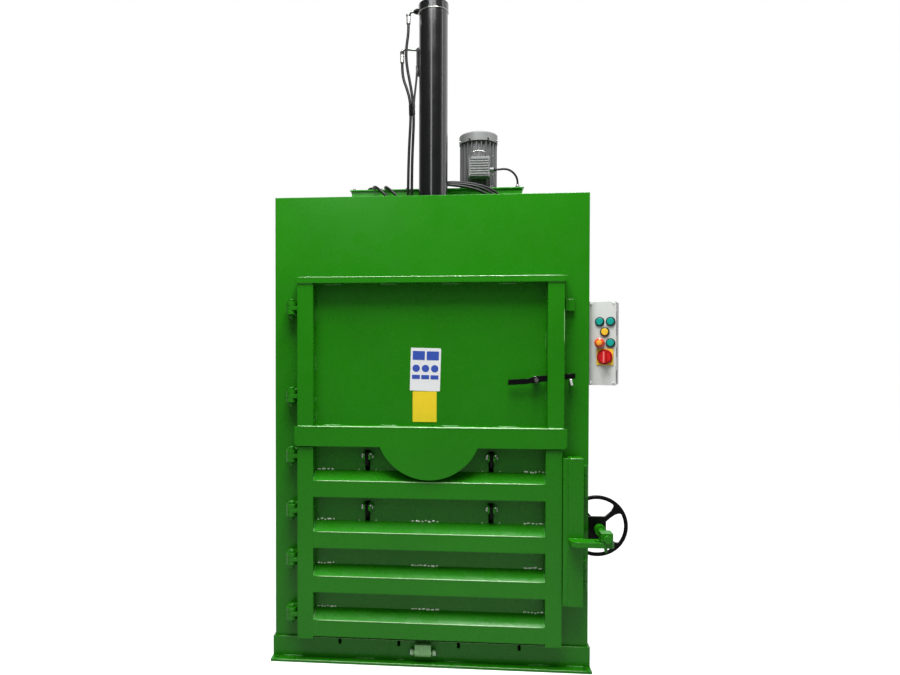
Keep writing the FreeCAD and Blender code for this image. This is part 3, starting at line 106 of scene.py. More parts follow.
def add_object(name, data):
    piece = bpy.data.objects.new(name, data)
    scene.collection.objects.link(piece)
    return piece


def make_camera():
    data = bpy.data.cameras.new("camera")
    data.sensor_width = SENSOR_WIDE
    data.sensor_fit = "HORIZONTAL"
    data.lens = FOCAL_PIXELS * SENSOR_WIDE / IMAGE_WIDE
    data.shift_x = (IMAGE_WIDE / 2 - CENTRE_PIXEL[0]) / IMAGE_WIDE
    data.shift_y = (CENTRE_PIXEL[1] - IMAGE_TALL / 2) / IMAGE_WIDE
    data.clip_end = 60
    camera = add_object("camera", data)
    camera.location = CAMERA_PLACE
    camera.rotation_euler = [math.radians(turn) for turn in (90 + CAMERA_PITCH, CAMERA_ROLL, CAMERA_YAW)]
    scene.camera = camera


def area_light(name, place, target, wide, tall, power):
    data = bpy.data.lights.new(name, "AREA")
    data.shape = "RECTANGLE"
    data.size, data.size_y = wide, tall
    data.energy = power
    lamp = add_object(name, data)
    lamp.location = place
    lamp.rotation_euler = (Vector(target) - Vector(place)).to_track_quat("-Z", "Y").to_euler()


def make_world():
    """White where it is seen, soft light on the object, and dark to its front and left in mirrored rays."""
    world = bpy.data.worlds.new("studio")
    scene.world = world
    world.use_nodes = True
    tree = world.node_tree
    tree.nodes.clear()
    lit = white_light(tree, AMBIENT)
    seen = white_light(tree)
    mirrored = white_light(tree)
    place = tree.nodes.new("ShaderNodeTexCoord")
    aim = tree.nodes.new("ShaderNodeVectorMath")
    aim.operation = "DOT_PRODUCT"
    aim.inputs[1].default_value = Vector(BACKDROP_WAY).normalized()
    tree.links.new(place.outputs["Generated"], aim.inputs[0])
    backdrop = remap(tree, aim.outputs["Value"], STUDIO_DARK, 1.0, *BACKDROP_FADE)
    tree.links.new(backdrop, mirrored.inputs["Strength"])
    path = tree.nodes.new("ShaderNodeLightPath")
    glossy = maths(tree, "MAXIMUM", path.outputs["Is Glossy Ray"], path.outputs["Is Transmission Ray"])
    unseen = mix_shaders(tree, glossy, lit.outputs[0], mirrored.outputs[0])
    light = mix_shaders(tree, path.outputs["Is Camera Ray"], unseen, seen.outputs[0])
    output = tree.nodes.new("ShaderNodeOutputWorld")
    tree.links.new(light, output.inputs["Surface"])


def make_floor():
    """A matt floor that looks white where it is lit and keeps the machine's soft shadow."""
    mesh = bpy.data.meshes.new("floor")
    reach = FLOOR_REACH
    corners = [(-reach, -reach, 0), (reach, -reach, 0), (reach, reach, 0), (-reach, reach, 0)]
    mesh.from_pydata(corners, [], [(0, 1, 2, 3)])
    floor = add_object("floor", mesh)
    material = bpy.data.materials.new("floor_pale")
    material.use_nodes = True
    tree = material.node_tree
    shader = tree.nodes["Principled BSDF"]
    base = (FLOOR_GREY, FLOOR_GREY, FLOOR_GREY, 1)
    set_inputs(shader, {"Base Color": base, "Roughness": 0.95, "Specular IOR Level": 0.0})
    glow = tree.nodes.new("ShaderNodeEmission")
    glow.inputs["Color"].default_value = (1, 1, 1, 1)
    path = tree.nodes.new("ShaderNodeLightPath")
    seen = maths(tree, "MAXIMUM", path.outputs["Is Camera Ray"], path.outputs["Is Transmission Ray"])
    place = tree.nodes.new("ShaderNodeTexCoord")
    split = tree.nodes.new("ShaderNodeSeparateXYZ")
    tree.links.new(place.outputs["Object"], split.inputs[0])
    fade = remap(tree, split.outputs["Y"], STUDIO_DARK, 1.0, *FLOOR_FADE)
    behind = maths(tree, "MULTIPLY", fade, path.outputs["Is Glossy Ray"])
    level = maths(tree, "MULTIPLY", maths(tree, "MAXIMUM", seen, behind), FLOOR_GLOW)
    tree.links.new(level, glow.inputs["Strength"])
    both = tree.nodes.new("ShaderNodeAddShader")
    tree.links.new(shader.outputs[0], both.inputs[0])
    tree.links.new(glow.outputs[0], both.inputs[1])
    tree.links.new(both.outputs[0], tree.nodes["Material Output"].inputs["Surface"])
    mesh.materials.append(material)


# ---------- materials

def new_material(name):
    material = bpy.data.materials.new(name)
    material.use_nodes = True
    return material, material.node_tree, material.node_tree.nodes["Principled BSDF"]


def noise(tree, scale, detail):
    """A noise texture in metres of the machine's own frame."""
    place = tree.nodes.new("ShaderNodeTexCoord")
    texture = tree.nodes.new("ShaderNodeTexNoise")
    set_inputs(texture, {"Scale": scale, "Detail": detail, "Roughness": 0.55})
    tree.links.new(place.outputs["Object"], texture.inputs["Vector"])
    return texture.outputs["Fac"]


def mix_colour(tree, factor, first, second):
    """Blend two colours; each is a tuple or a socket."""
    node = tree.nodes.new("ShaderNodeMix")
    node.data_type = "RGBA"
    for socket, value in (("A", first), ("B", second)):
        slot = [item for item in node.inputs if item.name == socket and item.type == "RGBA"][0]
        if isinstance(value, tuple):
            slot.default_value = value + (1,)
        else:
            tree.links.new(value, slot)
    tree.links.new(factor, node.inputs["Factor"])
    return [item for item in node.outputs if item.type == "RGBA"][0]


def edge_mask(tree, radius):
    """White along the convex and concave edges of a piece."""
    bevel = tree.nodes.new("ShaderNodeBevel")
    bevel.samples = 4
    bevel.inputs["Radius"].default_value = radius
    geometry = tree.nodes.new("ShaderNodeNewGeometry")
    dot = tree.nodes.new("ShaderNodeVectorMath")
    dot.operation = "DOT_PRODUCT"
    tree.links.new(bevel.outputs["Normal"], dot.inputs[0])
    tree.links.new(geometry.outputs["Normal"], dot.inputs[1])
    return bevel.outputs["Normal"], remap(tree, dot.outputs["Value"], 1.0, 0.0, 0.75, 0.98)


def scaled(colour, factor):
    return tuple(min(1.0, part * factor) for part in colour)


def fine_grain(tree, shader, strength, depth, scale):
    """Fine unevenness of a skin; depth in metres."""
    node = tree.nodes.new("ShaderNodeBump")
    set_inputs(node, {"Strength": strength, "Distance": depth})
    tree.links.new(noise(tree, scale, 2), node.inputs["Height"])
    tree.links.new(node.outputs["Normal"], shader.inputs["Normal"])
    return node


def coated_metal(name, colour, rough, coat=0.0, metallic=0.0, bump=0.1, grain=260.0, edge=1.35, radius=0.002,
                 shine=0.5):
    """Paint or bare metal: slow colour drift, uneven gloss, fine skin, and rounded edges lightened partly by
    wear and partly as a painted highlight.
    """
    material, tree, shader = new_material(name)
    drift = remap(tree, noise(tree, 2.2, 4), 0.0, 1.0)
    body = mix_colour(tree, drift, scaled(colour, 0.93), scaled(colour, 1.06))
    normal, mask = edge_mask(tree, radius)
    # edges lighter by the factor edge: partly wear, partly a painted highlight along the rounded edges
    wear_and_highlight = maths(tree, "MULTIPLY", mask, remap(tree, noise(tree, 45.0, 5), 0.15, 0.95, 0.35, 0.65))
    tree.links.new(mix_colour(tree, wear_and_highlight, body, scaled(colour, edge)), shader.inputs["Base Color"])
    tree.links.new(remap(tree, noise(tree, 14.0, 4), rough * 0.85, rough * 1.2), shader.inputs["Roughness"])
    grainy = fine_grain(tree, shader, bump, 0.0006, grain)
    tree.links.new(normal, grainy.inputs["Normal"])
    set_inputs(shader, {"Metallic": metallic, "Specular IOR Level": shine, "Coat Weight": coat,
                        "Coat Roughness": 0.12})
    return material


def moulded(name, colour, rough, bump=0.05, drift=0.08, shine=0.5):
    """Moulded plastic or rubber with a fine skin and slightly uneven gloss."""
    material, tree, shader = new_material(name)
    cloud = remap(tree, noise(tree, 60.0, 3), 0.0, 1.0)
    mixed = mix_colour(tree, cloud, scaled(colour, 1 - drift), scaled(colour, 1 + drift))
    tree.links.new(mixed, shader.inputs["Base Color"])
    tree.links.new(remap(tree, noise(tree, 90.0, 3), rough * 0.8, rough * 1.25), shader.inputs["Roughness"])
    fine_grain(tree, shader, bump, 0.0004, 900.0)
    shader.inputs["Specular IOR Level"].default_value = shine
    return material


make_camera()
make_world()
make_floor()
area_light("key", (-0.3, -2.05, 4.55), (0, -0.3, 1.0), 2.2, 1.2, 158)
area_light("sheen", (0.55, -1.05, 4.6), (0.15, -0.5, 0.4), 1.0, 0.6, 120)
area_light("strip", (-0.7, -2.85, 3.45), (0, 0, 2.35), 0.5, 1.9, 11)
area_light("edge", (2.6, -0.6, 3.4), (0, 0, 2.4), 0.14, 1.9, 4)

GREEN = (0.014, 0.196, 0.0024)
MATERIALS = {
    "green_paint": coated_metal("green_enamel", GREEN, 0.27, bump=0.1, shine=0.34, edge=1.8, radius=0.0028),
    "black_paint": coated_metal("black_enamel", (0.006, 0.006, 0.0065), 0.2, coat=0.8, edge=2.0),
    # the motor's grey is darker as painted shade between its fins
    "grey_paint": coated_metal("grey_enamel", (0.115, 0.115, 0.118), 0.42, bump=0.25, grain=420.0),
    "pale_paint": coated_metal("pale_powder_coat", (0.62, 0.64, 0.61), 0.45, bump=0.3, grain=700.0,
                               edge=1.05),
    "steel": coated_metal("machined_steel", (0.46, 0.46, 0.45), 0.34, metallic=1.0, bump=0.1, grain=600.0),
    "chrome": coated_metal("chromed_rod", (0.72, 0.73, 0.75), 0.08, metallic=1.0, bump=0.02, radius=0.001),
    "zinc": coated_metal("zinc_plated_steel", (0.27, 0.275, 0.26), 0.34, metallic=1.0, bump=0.12,
                         grain=900.0, radius=0.0008),
    "green_bead": coated_metal("painted_weld", (0.045, 0.3, 0.03), 0.22, coat=1.0, bump=0.25, grain=700.0,
                               radius=0.0006),
    "bright_zinc": coated_metal("bright_zinc", (0.8, 0.81, 0.79), 0.36, metallic=0.3, bump=0.12,
                                grain=900.0, radius=0.0008),
    # near-white colour of the stitch welds: a painted glint
    "glint_bead": coated_metal("weld_with_painted_glint", (0.82, 0.97, 0.76), 0.22, coat=0.8, bump=0.3,
                              grain=800.0, radius=0.0006),
    # pale green for the strips along edges: a painted highlight
    "painted_highlight_edge": coated_metal("green_edge_painted_highlight", (0.26, 0.52, 0.2), 0.22, coat=0.8, bump=0.1,
                              radius=0.0006),
    # the same grey as the motor, lighter: painted light on the cowl and terminal box
    "lit_copy_grey": coated_metal("lit_copy_grey_enamel", (0.185, 0.185, 0.188), 0.4, bump=0.25, grain=420.0),
    "satin_black": coated_metal("satin_black_enamel", (0.003, 0.0034, 0.003), 0.36, bump=0.1, edge=3.0,
                                shine=0.13),
    "tank_green": coated_metal("tank_lid_enamel", (0.028, 0.3, 0.105), 0.3, bump=0.12, shine=0.5,
                               edge=1.8),
    "collar_red": moulded("dark_red_plastic", (0.38, 0.006, 0.01), 0.3),
    "amber_lens": moulded("amber_lens", (0.9, 0.36, 0.035), 0.18),
    "bare_bead": coated_metal("bright_weld", (0.5, 0.49, 0.47), 0.28, metallic=1.0, bump=0.3, grain=800.0,
                              radius=0.0006),
    # light green for the ejector's leaves: a painted highlight
    "painted_highlight_green": coated_metal("painted_highlight_green_enamel", (0.24, 0.52, 0.19), 0.26, coat=0.5, bump=0.15),
    "pointer_red": moulded("pale_red_plastic", (0.8, 0.22, 0.2), 0.3),
    "white_vinyl": moulded("white_vinyl", (0.78, 0.79, 0.8), 0.42, 0.04, 0.02),
    "blue_vinyl": moulded("blue_vinyl", (0.03, 0.08, 0.42), 0.42, 0.04, 0.02),
    "yellow_vinyl": moulded("yellow_vinyl", (0.86, 0.62, 0.015), 0.42, 0.04, 0.02),
    "rubber": moulded("black_rubber", (0.006, 0.006, 0.0065), 0.42, 0.15, shine=0.3),
    "black_plastic": moulded("black_plastic", (0.008, 0.008, 0.0085), 0.4, 0.1, shine=0.3),
    "teal_plastic": moulded("teal_plastic", (0.008, 0.33, 0.275), 0.22),
    "yellow_plastic": moulded("yellow_plastic", (0.84, 0.52, 0.035), 0.25),
    "orange_plastic": moulded("orange_plastic", (0.62, 0.075, 0.02), 0.28),
    "red_plastic": moulded("red_plastic", (0.62, 0.01, 0.012), 0.28),
}

# nodes that don't wear the finish of their record slot
OTHER_FINISH = {
    "green_paint": ("hinge_pins", "screw_clevis", "lock_screw"),
    # the ejector's bracket and leaves are lighter green as a painted highlight
    "painted_highlight_green": ("ejector_bracket", "bale_ejector"),
    # cowl and terminal box: a lighter copy of the motor's grey, painted light
    "lit_copy_grey": ("fan_cowl", "terminal_box"),
    "satin_black": ("handwheel", "nut_bracket", "latch_lever", "bale_claw_1", "bale_claw_2", "bale_claw_3",
                    "bale_claw_4"),
    "zinc": ("valve_block",),
    "tank_green": ("tank_lid",)}


def finish_cad_nodes():
    """Each CAD node takes the material of its finish and soft shading on its round faces."""
    finishes = {node: finish for finish, nodes in OTHER_FINISH.items() for node in nodes}
    for part in frame["record"]["subparts"]:
        piece = frame["nodes"][part["node"]]
        piece.data.materials.clear()
        piece.data.materials.append(MATERIALS[finishes.get(part["node"], part["material_slot"])])
        for polygon in piece.data.polygons:
            polygon.use_smooth = True
        piece.data.set_sharp_from_angle(angle=math.radians(28))


finish_cad_nodes()


# ---------- hoses and the motor's cable

UPPER_HOSE = [
    (-0.117, 0.000, 2.801), (-0.117, 0.000, 2.762), (-0.124, 0.001, 2.716), (-0.129, 0.003, 2.664),
    (-0.124, 0.005, 2.604), (-0.112, 0.006, 2.542), (-0.100, 0.006, 2.476), (-0.093, 0.006, 2.405),
    (-0.092, 0.006, 2.340), (-0.095, 0.007, 2.270), (-0.098, 0.009, 2.200), (-0.100, 0.012, 2.130),
    (-0.101, 0.014, 2.060), (-0.101, 0.015, 2.002), (-0.101, 0.035, 1.967), (-0.101, 0.070, 1.947),
    (-0.101, 0.110, 1.947)]
LOWER_HOSE = [
    (-0.149, 0.040, 2.637), (-0.149, 0.040, 2.600), (-0.142, 0.037, 2.556), (-0.126, 0.031, 2.512),
    (-0.112, 0.024, 2.462), (-0.107, 0.019, 2.405), (-0.108, 0.017, 2.340), (-0.112, 0.016, 2.270),
    (-0.115, 0.016, 2.200), (-0.117, 0.015, 2.130), (-0.118, 0.014, 2.060), (-0.119, 0.015, 2.002),
    (-0.119, 0.035, 1.967), (-0.119, 0.070, 1.947), (-0.119, 0.110, 1.947)]
RETURN_HOSE_1 = [
    (0.030, 0.200, 2.092), (0.030, 0.168, 2.092), (0.050, 0.132, 2.090), (0.086, 0.112, 2.087),
    (0.127, 0.112, 2.085), (0.170, 0.112, 2.081), (0.212, 0.112, 2.073), (0.252, 0.112, 2.060),
    (0.290, 0.112, 2.041), (0.322, 0.112, 2.016), (0.345, 0.112, 1.986), (0.359, 0.112, 1.952),
    (0.359, 0.112, 1.920)]
RETURN_HOSE_2 = [
    (0.002, 0.200, 2.084), (0.002, 0.166, 2.084), (0.027, 0.123, 2.083), (0.070, 0.098, 2.079),
    (0.112, 0.098, 2.075), (0.156, 0.098, 2.071), (0.199, 0.098, 2.063), (0.240, 0.098, 2.050),
    (0.278, 0.098, 2.029), (0.308, 0.098, 2.000), (0.331, 0.098, 1.961), (0.331, 0.098, 1.920)]
RETURN_HOSE_3 = [
    (-0.026, 0.200, 2.078), (-0.026, 0.164, 2.078), (0.003, 0.113, 2.077), (0.054, 0.084, 2.070),
    (0.098, 0.084, 2.065), (0.142, 0.084, 2.059), (0.185, 0.084, 2.050), (0.226, 0.084, 2.036),
    (0.263, 0.084, 2.013), (0.291, 0.084, 1.984), (0.309, 0.084, 1.951), (0.309, 0.084, 1.920)]
DRAIN_HOSE_1 = [
    (-0.293, 0.180, 2.080), (-0.293, 0.138, 2.080), (-0.278, 0.099, 2.066), (-0.250, 0.077, 2.040),
    (-0.221, 0.076, 2.010), (-0.202, 0.076, 1.965), (-0.202, 0.076, 1.920)]
DRAIN_HOSE_2 = [
    (-0.238, 0.180, 2.077), (-0.238, 0.138, 2.077), (-0.223, 0.099, 2.062), (-0.196, 0.077, 2.036),
    (-0.167, 0.076, 2.005), (-0.147, 0.076, 1.962), (-0.147, 0.076, 1.920)]
MOTOR_CABLE = [
    (0.289, 0.138, 2.150), (0.311, 0.138, 2.150), (0.333, 0.139, 2.153), (0.356, 0.141, 2.151),
    (0.378, 0.143, 2.140), (0.395, 0.145, 2.121), (0.404, 0.146, 2.098), (0.404, 0.146, 2.073)]


def cord_curve(name, points, radius):
    """A smooth round cord through its route's points as a NURBS."""
    data = bpy.data.curves.new(name, "CURVE")
    data.dimensions = "3D"
    data.bevel_depth = radius
    data.bevel_resolution = 6
    data.resolution_u = 16
    spline = data.splines.new("NURBS")
    spline.points.add(len(points) - 1)
    for item, point in zip(spline.points, points):
        item.co = tuple(point) + (1,)
    spline.order_u = 3
    spline.use_endpoint_u = True
    data.materials.append(MATERIALS["rubber"])
    piece = add_object(name, data)
    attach(piece, "frame")
    return piece


HOSE_RADIUS, CABLE_RADIUS = 0.0065, 0.005
for name, points, radius, length, node in (
        ("upper_press_hose", UPPER_HOSE, HOSE_RADIUS, 0.92, "upper_hose"),
        ("lower_press_hose", LOWER_HOSE, HOSE_RADIUS, 0.76, "lower_hose"),
        ("return_hose_1", RETURN_HOSE_1, HOSE_RADIUS, 0.47, "lower_hose"),
        ("return_hose_2", RETURN_HOSE_2, HOSE_RADIUS, 0.47, "lower_hose"),
        ("return_hose_3", RETURN_HOSE_3, HOSE_RADIUS, 0.48, "lower_hose"),
        ("drain_hose_1", DRAIN_HOSE_1, HOSE_RADIUS, 0.26, "lower_hose"),
        ("drain_hose_2", DRAIN_HOSE_2, HOSE_RADIUS, 0.26, "lower_hose"),
        ("motor_lead", MOTOR_CABLE, CABLE_RADIUS, 0.166, "motor_cable")):
    cord = cord_curve(name, points, radius)
    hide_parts(node)


# ---------- mesh tools

UP, DOWN, LEFT, RIGHT, FORWARD, BACK = (0, 0, 1), (0, 0, -1), (-1, 0, 0), (1, 0, 0), (0, -1, 0), (0, 1, 0)


def mesh_piece(name, body, slot, build, finish=None, sharp=34):
    """A mesh object made by build(bm), riding on a body; finish names a material other than the slot's."""
    mesh = bpy.data.meshes.new(name)
    bm = bmesh.new()
    build(bm)
    bmesh.ops.recalc_face_normals(bm, faces=bm.faces)
    bm.to_mesh(mesh)
    bm.free()
    mesh.materials.append(MATERIALS[finish or slot])
    for polygon in mesh.polygons:
        polygon.use_smooth = True
    mesh.set_sharp_from_angle(angle=math.radians(sharp))
    piece = add_object(name, mesh)
    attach(piece, body)
    return piece


def skin(bm, first, second):
    """Faces between two rings of points, either of which may be a single point."""
    count = max(len(first), len(second))
    for k in range(count):
        after = (k + 1) % count
        if len(first) == 1:
            bm.faces.new((first[0], second[k], second[after]))
        elif len(second) == 1:
            bm.faces.new((first[after], first[k], second[0]))
        else:
            bm.faces.new((first[after], first[k], second[k], second[after]))


def skin_rings(bm, rings):
    for first, second in zip(rings, rings[1:]):
        skin(bm, first, second)


def basis(axis):
    along = Vector(axis).normalized()
    side = along.orthogonal().normalized()
    return side, along.cross(side), along


def lathe(bm, place, axis, profile, steps=28):
    """Revolve (radius, height) pairs about an axis; a radius of 0 closes an end."""
    side, other, along = basis(axis)
    rings = []
    for radius, high in profile:
        centre = Vector(place) + along * high
        if radius == 0:
            rings.append([bm.verts.new(centre)])
        else:
            ring = []
            for k in range(steps):
                angle = 2 * math.pi * k / steps
                spot = centre + side * radius * math.cos(angle) + other * radius * math.sin(angle)
                ring.append(bm.verts.new(spot))
            rings.append(ring)
    skin_rings(bm, rings)


def hex_head(bm, place, axis, across, high, turn, washer=True):
    """Chamfered hexagon head or nut on its washer."""
    side, other, along = basis(axis)
    place = Vector(place)
    low = 0.0
    if washer:
        low = across * 0.11
        lathe(bm, place, axis, [(0, 0), (across * 0.7, 0), (across * 0.72, low * 0.4),
                                (across * 0.7, low), (0, low)], 24)
    rings = []
    for level, corner in ((low, 1.0), (high * 0.8, 1.0), (high, 0.87)):
        ring = []
        for k in range(24):
            angle = 2 * math.pi * k / 24
            within = (angle + math.pi / 6) % (math.pi / 3) - math.pi / 6
            flat = across / 2 / math.cos(within)
            reach = min(flat, across / 2 * 1.1547 * corner)
            ring.append(bm.verts.new(place + along * level + side * reach * math.cos(angle + turn)
                                     + other * reach * math.sin(angle + turn)))
        rings.append(ring)
    rings.append([bm.verts.new(place + along * high)])
    skin_rings(bm, rings)


def sweep(bm, points, section, reference=(0, 1, 0)):
    """Carry a closed section of (across, up) pairs along points; each ring may differ."""
    line = [Vector(point) for point in points]
    side = Vector(reference)
    rings = []
    for k, place in enumerate(line):
        along = (line[min(k + 1, len(line) - 1)] - line[max(k - 1, 0)]).normalized()
        side = (side - along * side.dot(along)).normalized()
        other = along.cross(side)
        pairs = section(k) if callable(section) else section
        rings.append([bm.verts.new(place + side * a + other * b) for a, b in pairs])
    skin_rings(bm, rings)
    bm.faces.new(rings[0])
    bm.faces.new(list(reversed(rings[-1])))


def circle(radius, steps):
    return [(radius * math.cos(2 * math.pi * k / steps), radius * math.sin(2 * math.pi * k / steps))
            for k in range(steps)]


def spaced(points, step):
    """Points at an even step along straight runs."""
    line = [Vector(point) for point in points]
    found = []
    for start, end in zip(line, line[1:]):
        count = max(2, int((end - start).length / step))
        found += [start.lerp(end, k / count) for k in range(count)]
    return found + [line[-1]]


def bead(bm, points, radius, seed, reference=(0, 1, 0)):
    """A weld bead: overlapping ripples that wander a little, rounded off at both ends."""
    chance = random.Random(seed)
    step = 0.0016
    line = spaced(points, step)
    last = len(line) - 1
    wander = [Vector((chance.uniform(-1, 1), chance.uniform(-1, 1), chance.uniform(-1, 1))) * radius * 0.09
              for _ in line]
    size = [radius * (0.74 + 0.26 * abs(math.sin(math.pi * k * step / 0.0058))) * chance.uniform(0.9, 1.08)
            * min(1.0, 0.35 + 0.4 * min(k, last - k)) for k in range(last + 1)]
    sweep(bm, [place + shift for place, shift in zip(line, wander)], lambda k: circle(size[k], 9), reference)


def arc(centre, first, second, radius, start, end, steps):
    """Points on an arc in the plane of two directions, angles in degrees."""
    found = []
    for k in range(steps + 1):
        angle = math.radians(start + (end - start) * k / steps)
        across = Vector(first) * radius * math.cos(angle)
        found.append(Vector(centre) + across + Vector(second) * radius * math.sin(angle))
    return found


# ---------- weld beads

RIB_MIDDLES = (0.149, 0.328, 0.508, 0.715)
UPPER_HINGES = (1.088, 1.445)
LOWER_HINGES = (0.199, 0.423, 0.622, 0.845)
HINGE_ACROSS, HINGE_DEEP = -0.56, -0.486
CLAWS = ((-0.25, 0.845), (0.25, 0.845), (-0.25, 0.637), (0.25, 0.637))
CLAW_DEEP = -0.48       # the claws' bolts; CLAWS has their places across and up
SHEET = -0.46           # face of the door sheets
FRONT = -0.514          # face of the ribs and posts
APRON = -0.522          # face of the apron
FRAME_FRONT = -0.45     # face of the front sheet
REAR = 0.45             # face of the rear wall
SIDE = 0.54             # face of a side wall, either side of the middle
BASE_FRONT = -0.462     # face of the base frame
DECK = 1.902            # top of the deck
DOOR_EDGE, DOOR_EDGE_DEEP = -0.5305, -0.48    # where the hinge knuckles meet the doors
RIB_LEFT, RIB_RIGHT = -0.4645, 0.4585    # the welds at the ribs' ends
RIB_TOP, RIB_CREST = 0.069, 0.033    # upper and lower edge of a rib's slope, above its middle
POST_WELD = 0.4645      # the welds along the upper door's posts, either side of the middle
BARREL_RADIUS = 0.0675
LOCK_TOP = 0.854
WALL_RIBS, WALL_RIB_TALL = (0.3, 0.76, 1.22, 1.68), 0.084    # undersides, and one rib's height


def level_bead(bm, start, end, deep, high, radius, seed):
    """A weld that runs from left to right."""
    bead(bm, [(start, deep, high), (end, deep, high)], radius, seed)


def upright_bead(bm, across, deep, low, high, radius, seed):
    bead(bm, [(across, deep, low), (across, deep, high)], radius, seed)


def stitches(bm):
    """Ragged stitch welds where each rib's slope meets the door sheet, near-white as a painted glint."""
    chance = random.Random(7)
    deep = SHEET - 0.001
    for i, middle in enumerate(RIB_MIDDLES):
        top = middle + RIB_TOP + 0.002
        for j, (start, end) in enumerate(((-0.459, -0.386), (-0.072, 0.033), (0.38, 0.455))):
            behind_apron = i == 3 and j == 1
            if behind_apron:
                continue
            across = start
            while across < end:
                length = chance.uniform(0.007, 0.019)
                high = top + chance.uniform(0.0, 0.0035)
                line = [(across, deep, high), (across + length, deep, high + chance.uniform(-0.002, 0.002))]
                bead(bm, line, chance.uniform(0.0026, 0.0046), 1000 + 100 * i + 10 * j + int(across * 999))
                across += length + chance.uniform(0.001, 0.006)
    for i, (across, high) in enumerate(CLAWS):
        for j, side in enumerate((-0.033, 0.033)):
            for k in range(2):
                low = high - 0.06 - 0.01 * k
                end = (across + side * 1.1 + 0.004 * k, deep, low + 0.005)
                bead(bm, [(across + side + 0.004 * k, deep, low), end], 0.0024, 700 + 4 * i + 2 * j + k)


def rib_welds(bm):
    for i, middle in enumerate(RIB_MIDDLES):
        for j, across in enumerate((RIB_LEFT, RIB_RIGHT)):
            top = (across, SHEET - 0.004, middle + RIB_TOP - 0.002)
            crest = (across, FRONT + 0.002, middle + RIB_CREST + 0.001)
            bead(bm, [top, crest], 0.0024, 60 + 2 * i + j, RIGHT)
    for i, (across, high) in enumerate(CLAWS):
        for j, side in enumerate((-0.0155, 0.0155)):
            upright_bead(bm, across + side, SHEET - 0.001, high - 0.018, high + 0.016, 0.0022,
                         120 + 2 * i + j)
    for i, (low, high) in enumerate(((0.186, 0.204), (0.41, 0.436), (0.608, 0.64), (0.83, 0.862))):
        upright_bead(bm, DOOR_EDGE, DOOR_EDGE_DEEP, low - 0.006, high + 0.004, 0.0026, 160 + i)


def upper_door_welds(bm):
    deep, low_edge, high_edge = SHEET - 0.0012, 0.9685, 1.5432
    for i, (low, high) in enumerate(((1.19, 1.252), (1.062, 1.08), (0.986, 1.022), (1.392, 1.44))):
        upright_bead(bm, -POST_WELD, deep, low, high, 0.0019, 200 + i)
        upright_bead(bm, POST_WELD, deep, low + 0.09, high + 0.09, 0.0019, 210 + i)
    for i, (start, end) in enumerate(((-0.528, -0.468), (0.468, 0.528))):
        level_bead(bm, start, end, FRONT - 0.0015, low_edge, 0.0032, 220 + i)
        level_bead(bm, start, end, FRONT - 0.0008, high_edge, 0.0016, 230 + i)
    for i, (start, end) in enumerate(((-0.43, -0.36), (-0.2, -0.13), (0.05, 0.12), (0.28, 0.35))):
        level_bead(bm, start, end, deep, low_edge + 0.0003, 0.0019, 240 + i)
        level_bead(bm, start, end, deep, high_edge - 0.0002, 0.0019, 250 + i)
    for i, high in enumerate(UPPER_HINGES):
        upright_bead(bm, DOOR_EDGE, DOOR_EDGE_DEEP, high - 0.02, high + 0.01, 0.0026, 260 + i)


def frame_welds(bm):
    deep = FRAME_FRONT - 0.0012
    for i, high in enumerate(UPPER_HINGES + LOWER_HINGES):
        for j, level in enumerate((high - 0.024, high + 0.024)):
            level_bead(bm, -0.578, -0.542, deep, level, 0.0024, 300 + 2 * i + j)
        pin_top = (HINGE_ACROSS, HINGE_DEEP, high + 0.0345)
        bead(bm, arc(pin_top, RIGHT, BACK, 0.0082, -200, 130, 12), 0.0026, 320 + i, UP)
    length = 0.055
    for i, side in enumerate((-(SIDE + 0.0008), SIDE + 0.0008)):
        for j, low in enumerate(WALL_RIBS):
            for k, start in enumerate((-0.27, -0.04, 0.18, 0.36)):
                for m, level in enumerate((low, low + WALL_RIB_TALL)):
                    line = [(side, start, level), (side, start + length, level)]
                    bead(bm, line, 0.0026, 400 + 40 * i + 10 * j + 2 * k + m)
    for j, low in enumerate(WALL_RIBS):
        for k, start in enumerate((-0.5, -0.27, -0.03, 0.21, 0.44)):
            for m, level in enumerate((low, low + WALL_RIB_TALL)):
                level_bead(bm, start, start + length, REAR + 0.0008, level, 0.0026, 500 + 10 * j + 2 * k + m)
    plate_runs = ((-0.6, -0.52), (-0.3, -0.22), (-0.13, -0.1), (0.06, 0.14), (0.4, 0.48), (0.55, 0.62))
    for i, (start, end) in enumerate(plate_runs):
        level_bead(bm, start, end, BASE_FRONT - 0.0005, 0.0112, 0.003, 560 + i)
    edge, outer, inner, level = 0.1208, 0.118, 0.05, DECK + 0.0015
    for i, (across, back) in enumerate(((-1, -1), (1, -1), (-1, 1), (1, 1))):
        level_bead(bm, outer * across, inner * across, edge * back, level, 0.0034, 570 + i)
        line = [(edge * across, outer * back, level), (edge * across, inner * back, level)]
        bead(bm, line, 0.0034, 580 + i)
    for i, high in enumerate((0.383, 0.759)):
        for j, step in enumerate((-0.062, -0.022, 0.022, 0.062)):
            middle = high + step
            upright_bead(bm, 0.61, FRAME_FRONT - 0.0015, middle - 0.012, middle + 0.012, 0.0024,
                         590 + 4 * i + j)
    for j, level in enumerate((1.4335, 1.4765)):
        level_bead(bm, 0.544, 0.572, FRAME_FRONT - 0.0015, level, 0.0022, 600 + j)


def barrel_welds(bm):
    for high, radius, seed in ((2.8462, 0.0021, 620), (1.9285, 0.004, 621)):
        bead(bm, arc((0, 0, high), RIGHT, BACK, BARREL_RADIUS + 0.0015, 0, 356, 120), radius, seed, UP)


def tab_welds(bm):
    across = -BARREL_RADIUS - 0.001
    for side in (-0.0062, 0.0062):
        bead(bm, [(across, side, 2.566), (across, side, 2.674)], 0.0018, 622, RIGHT)


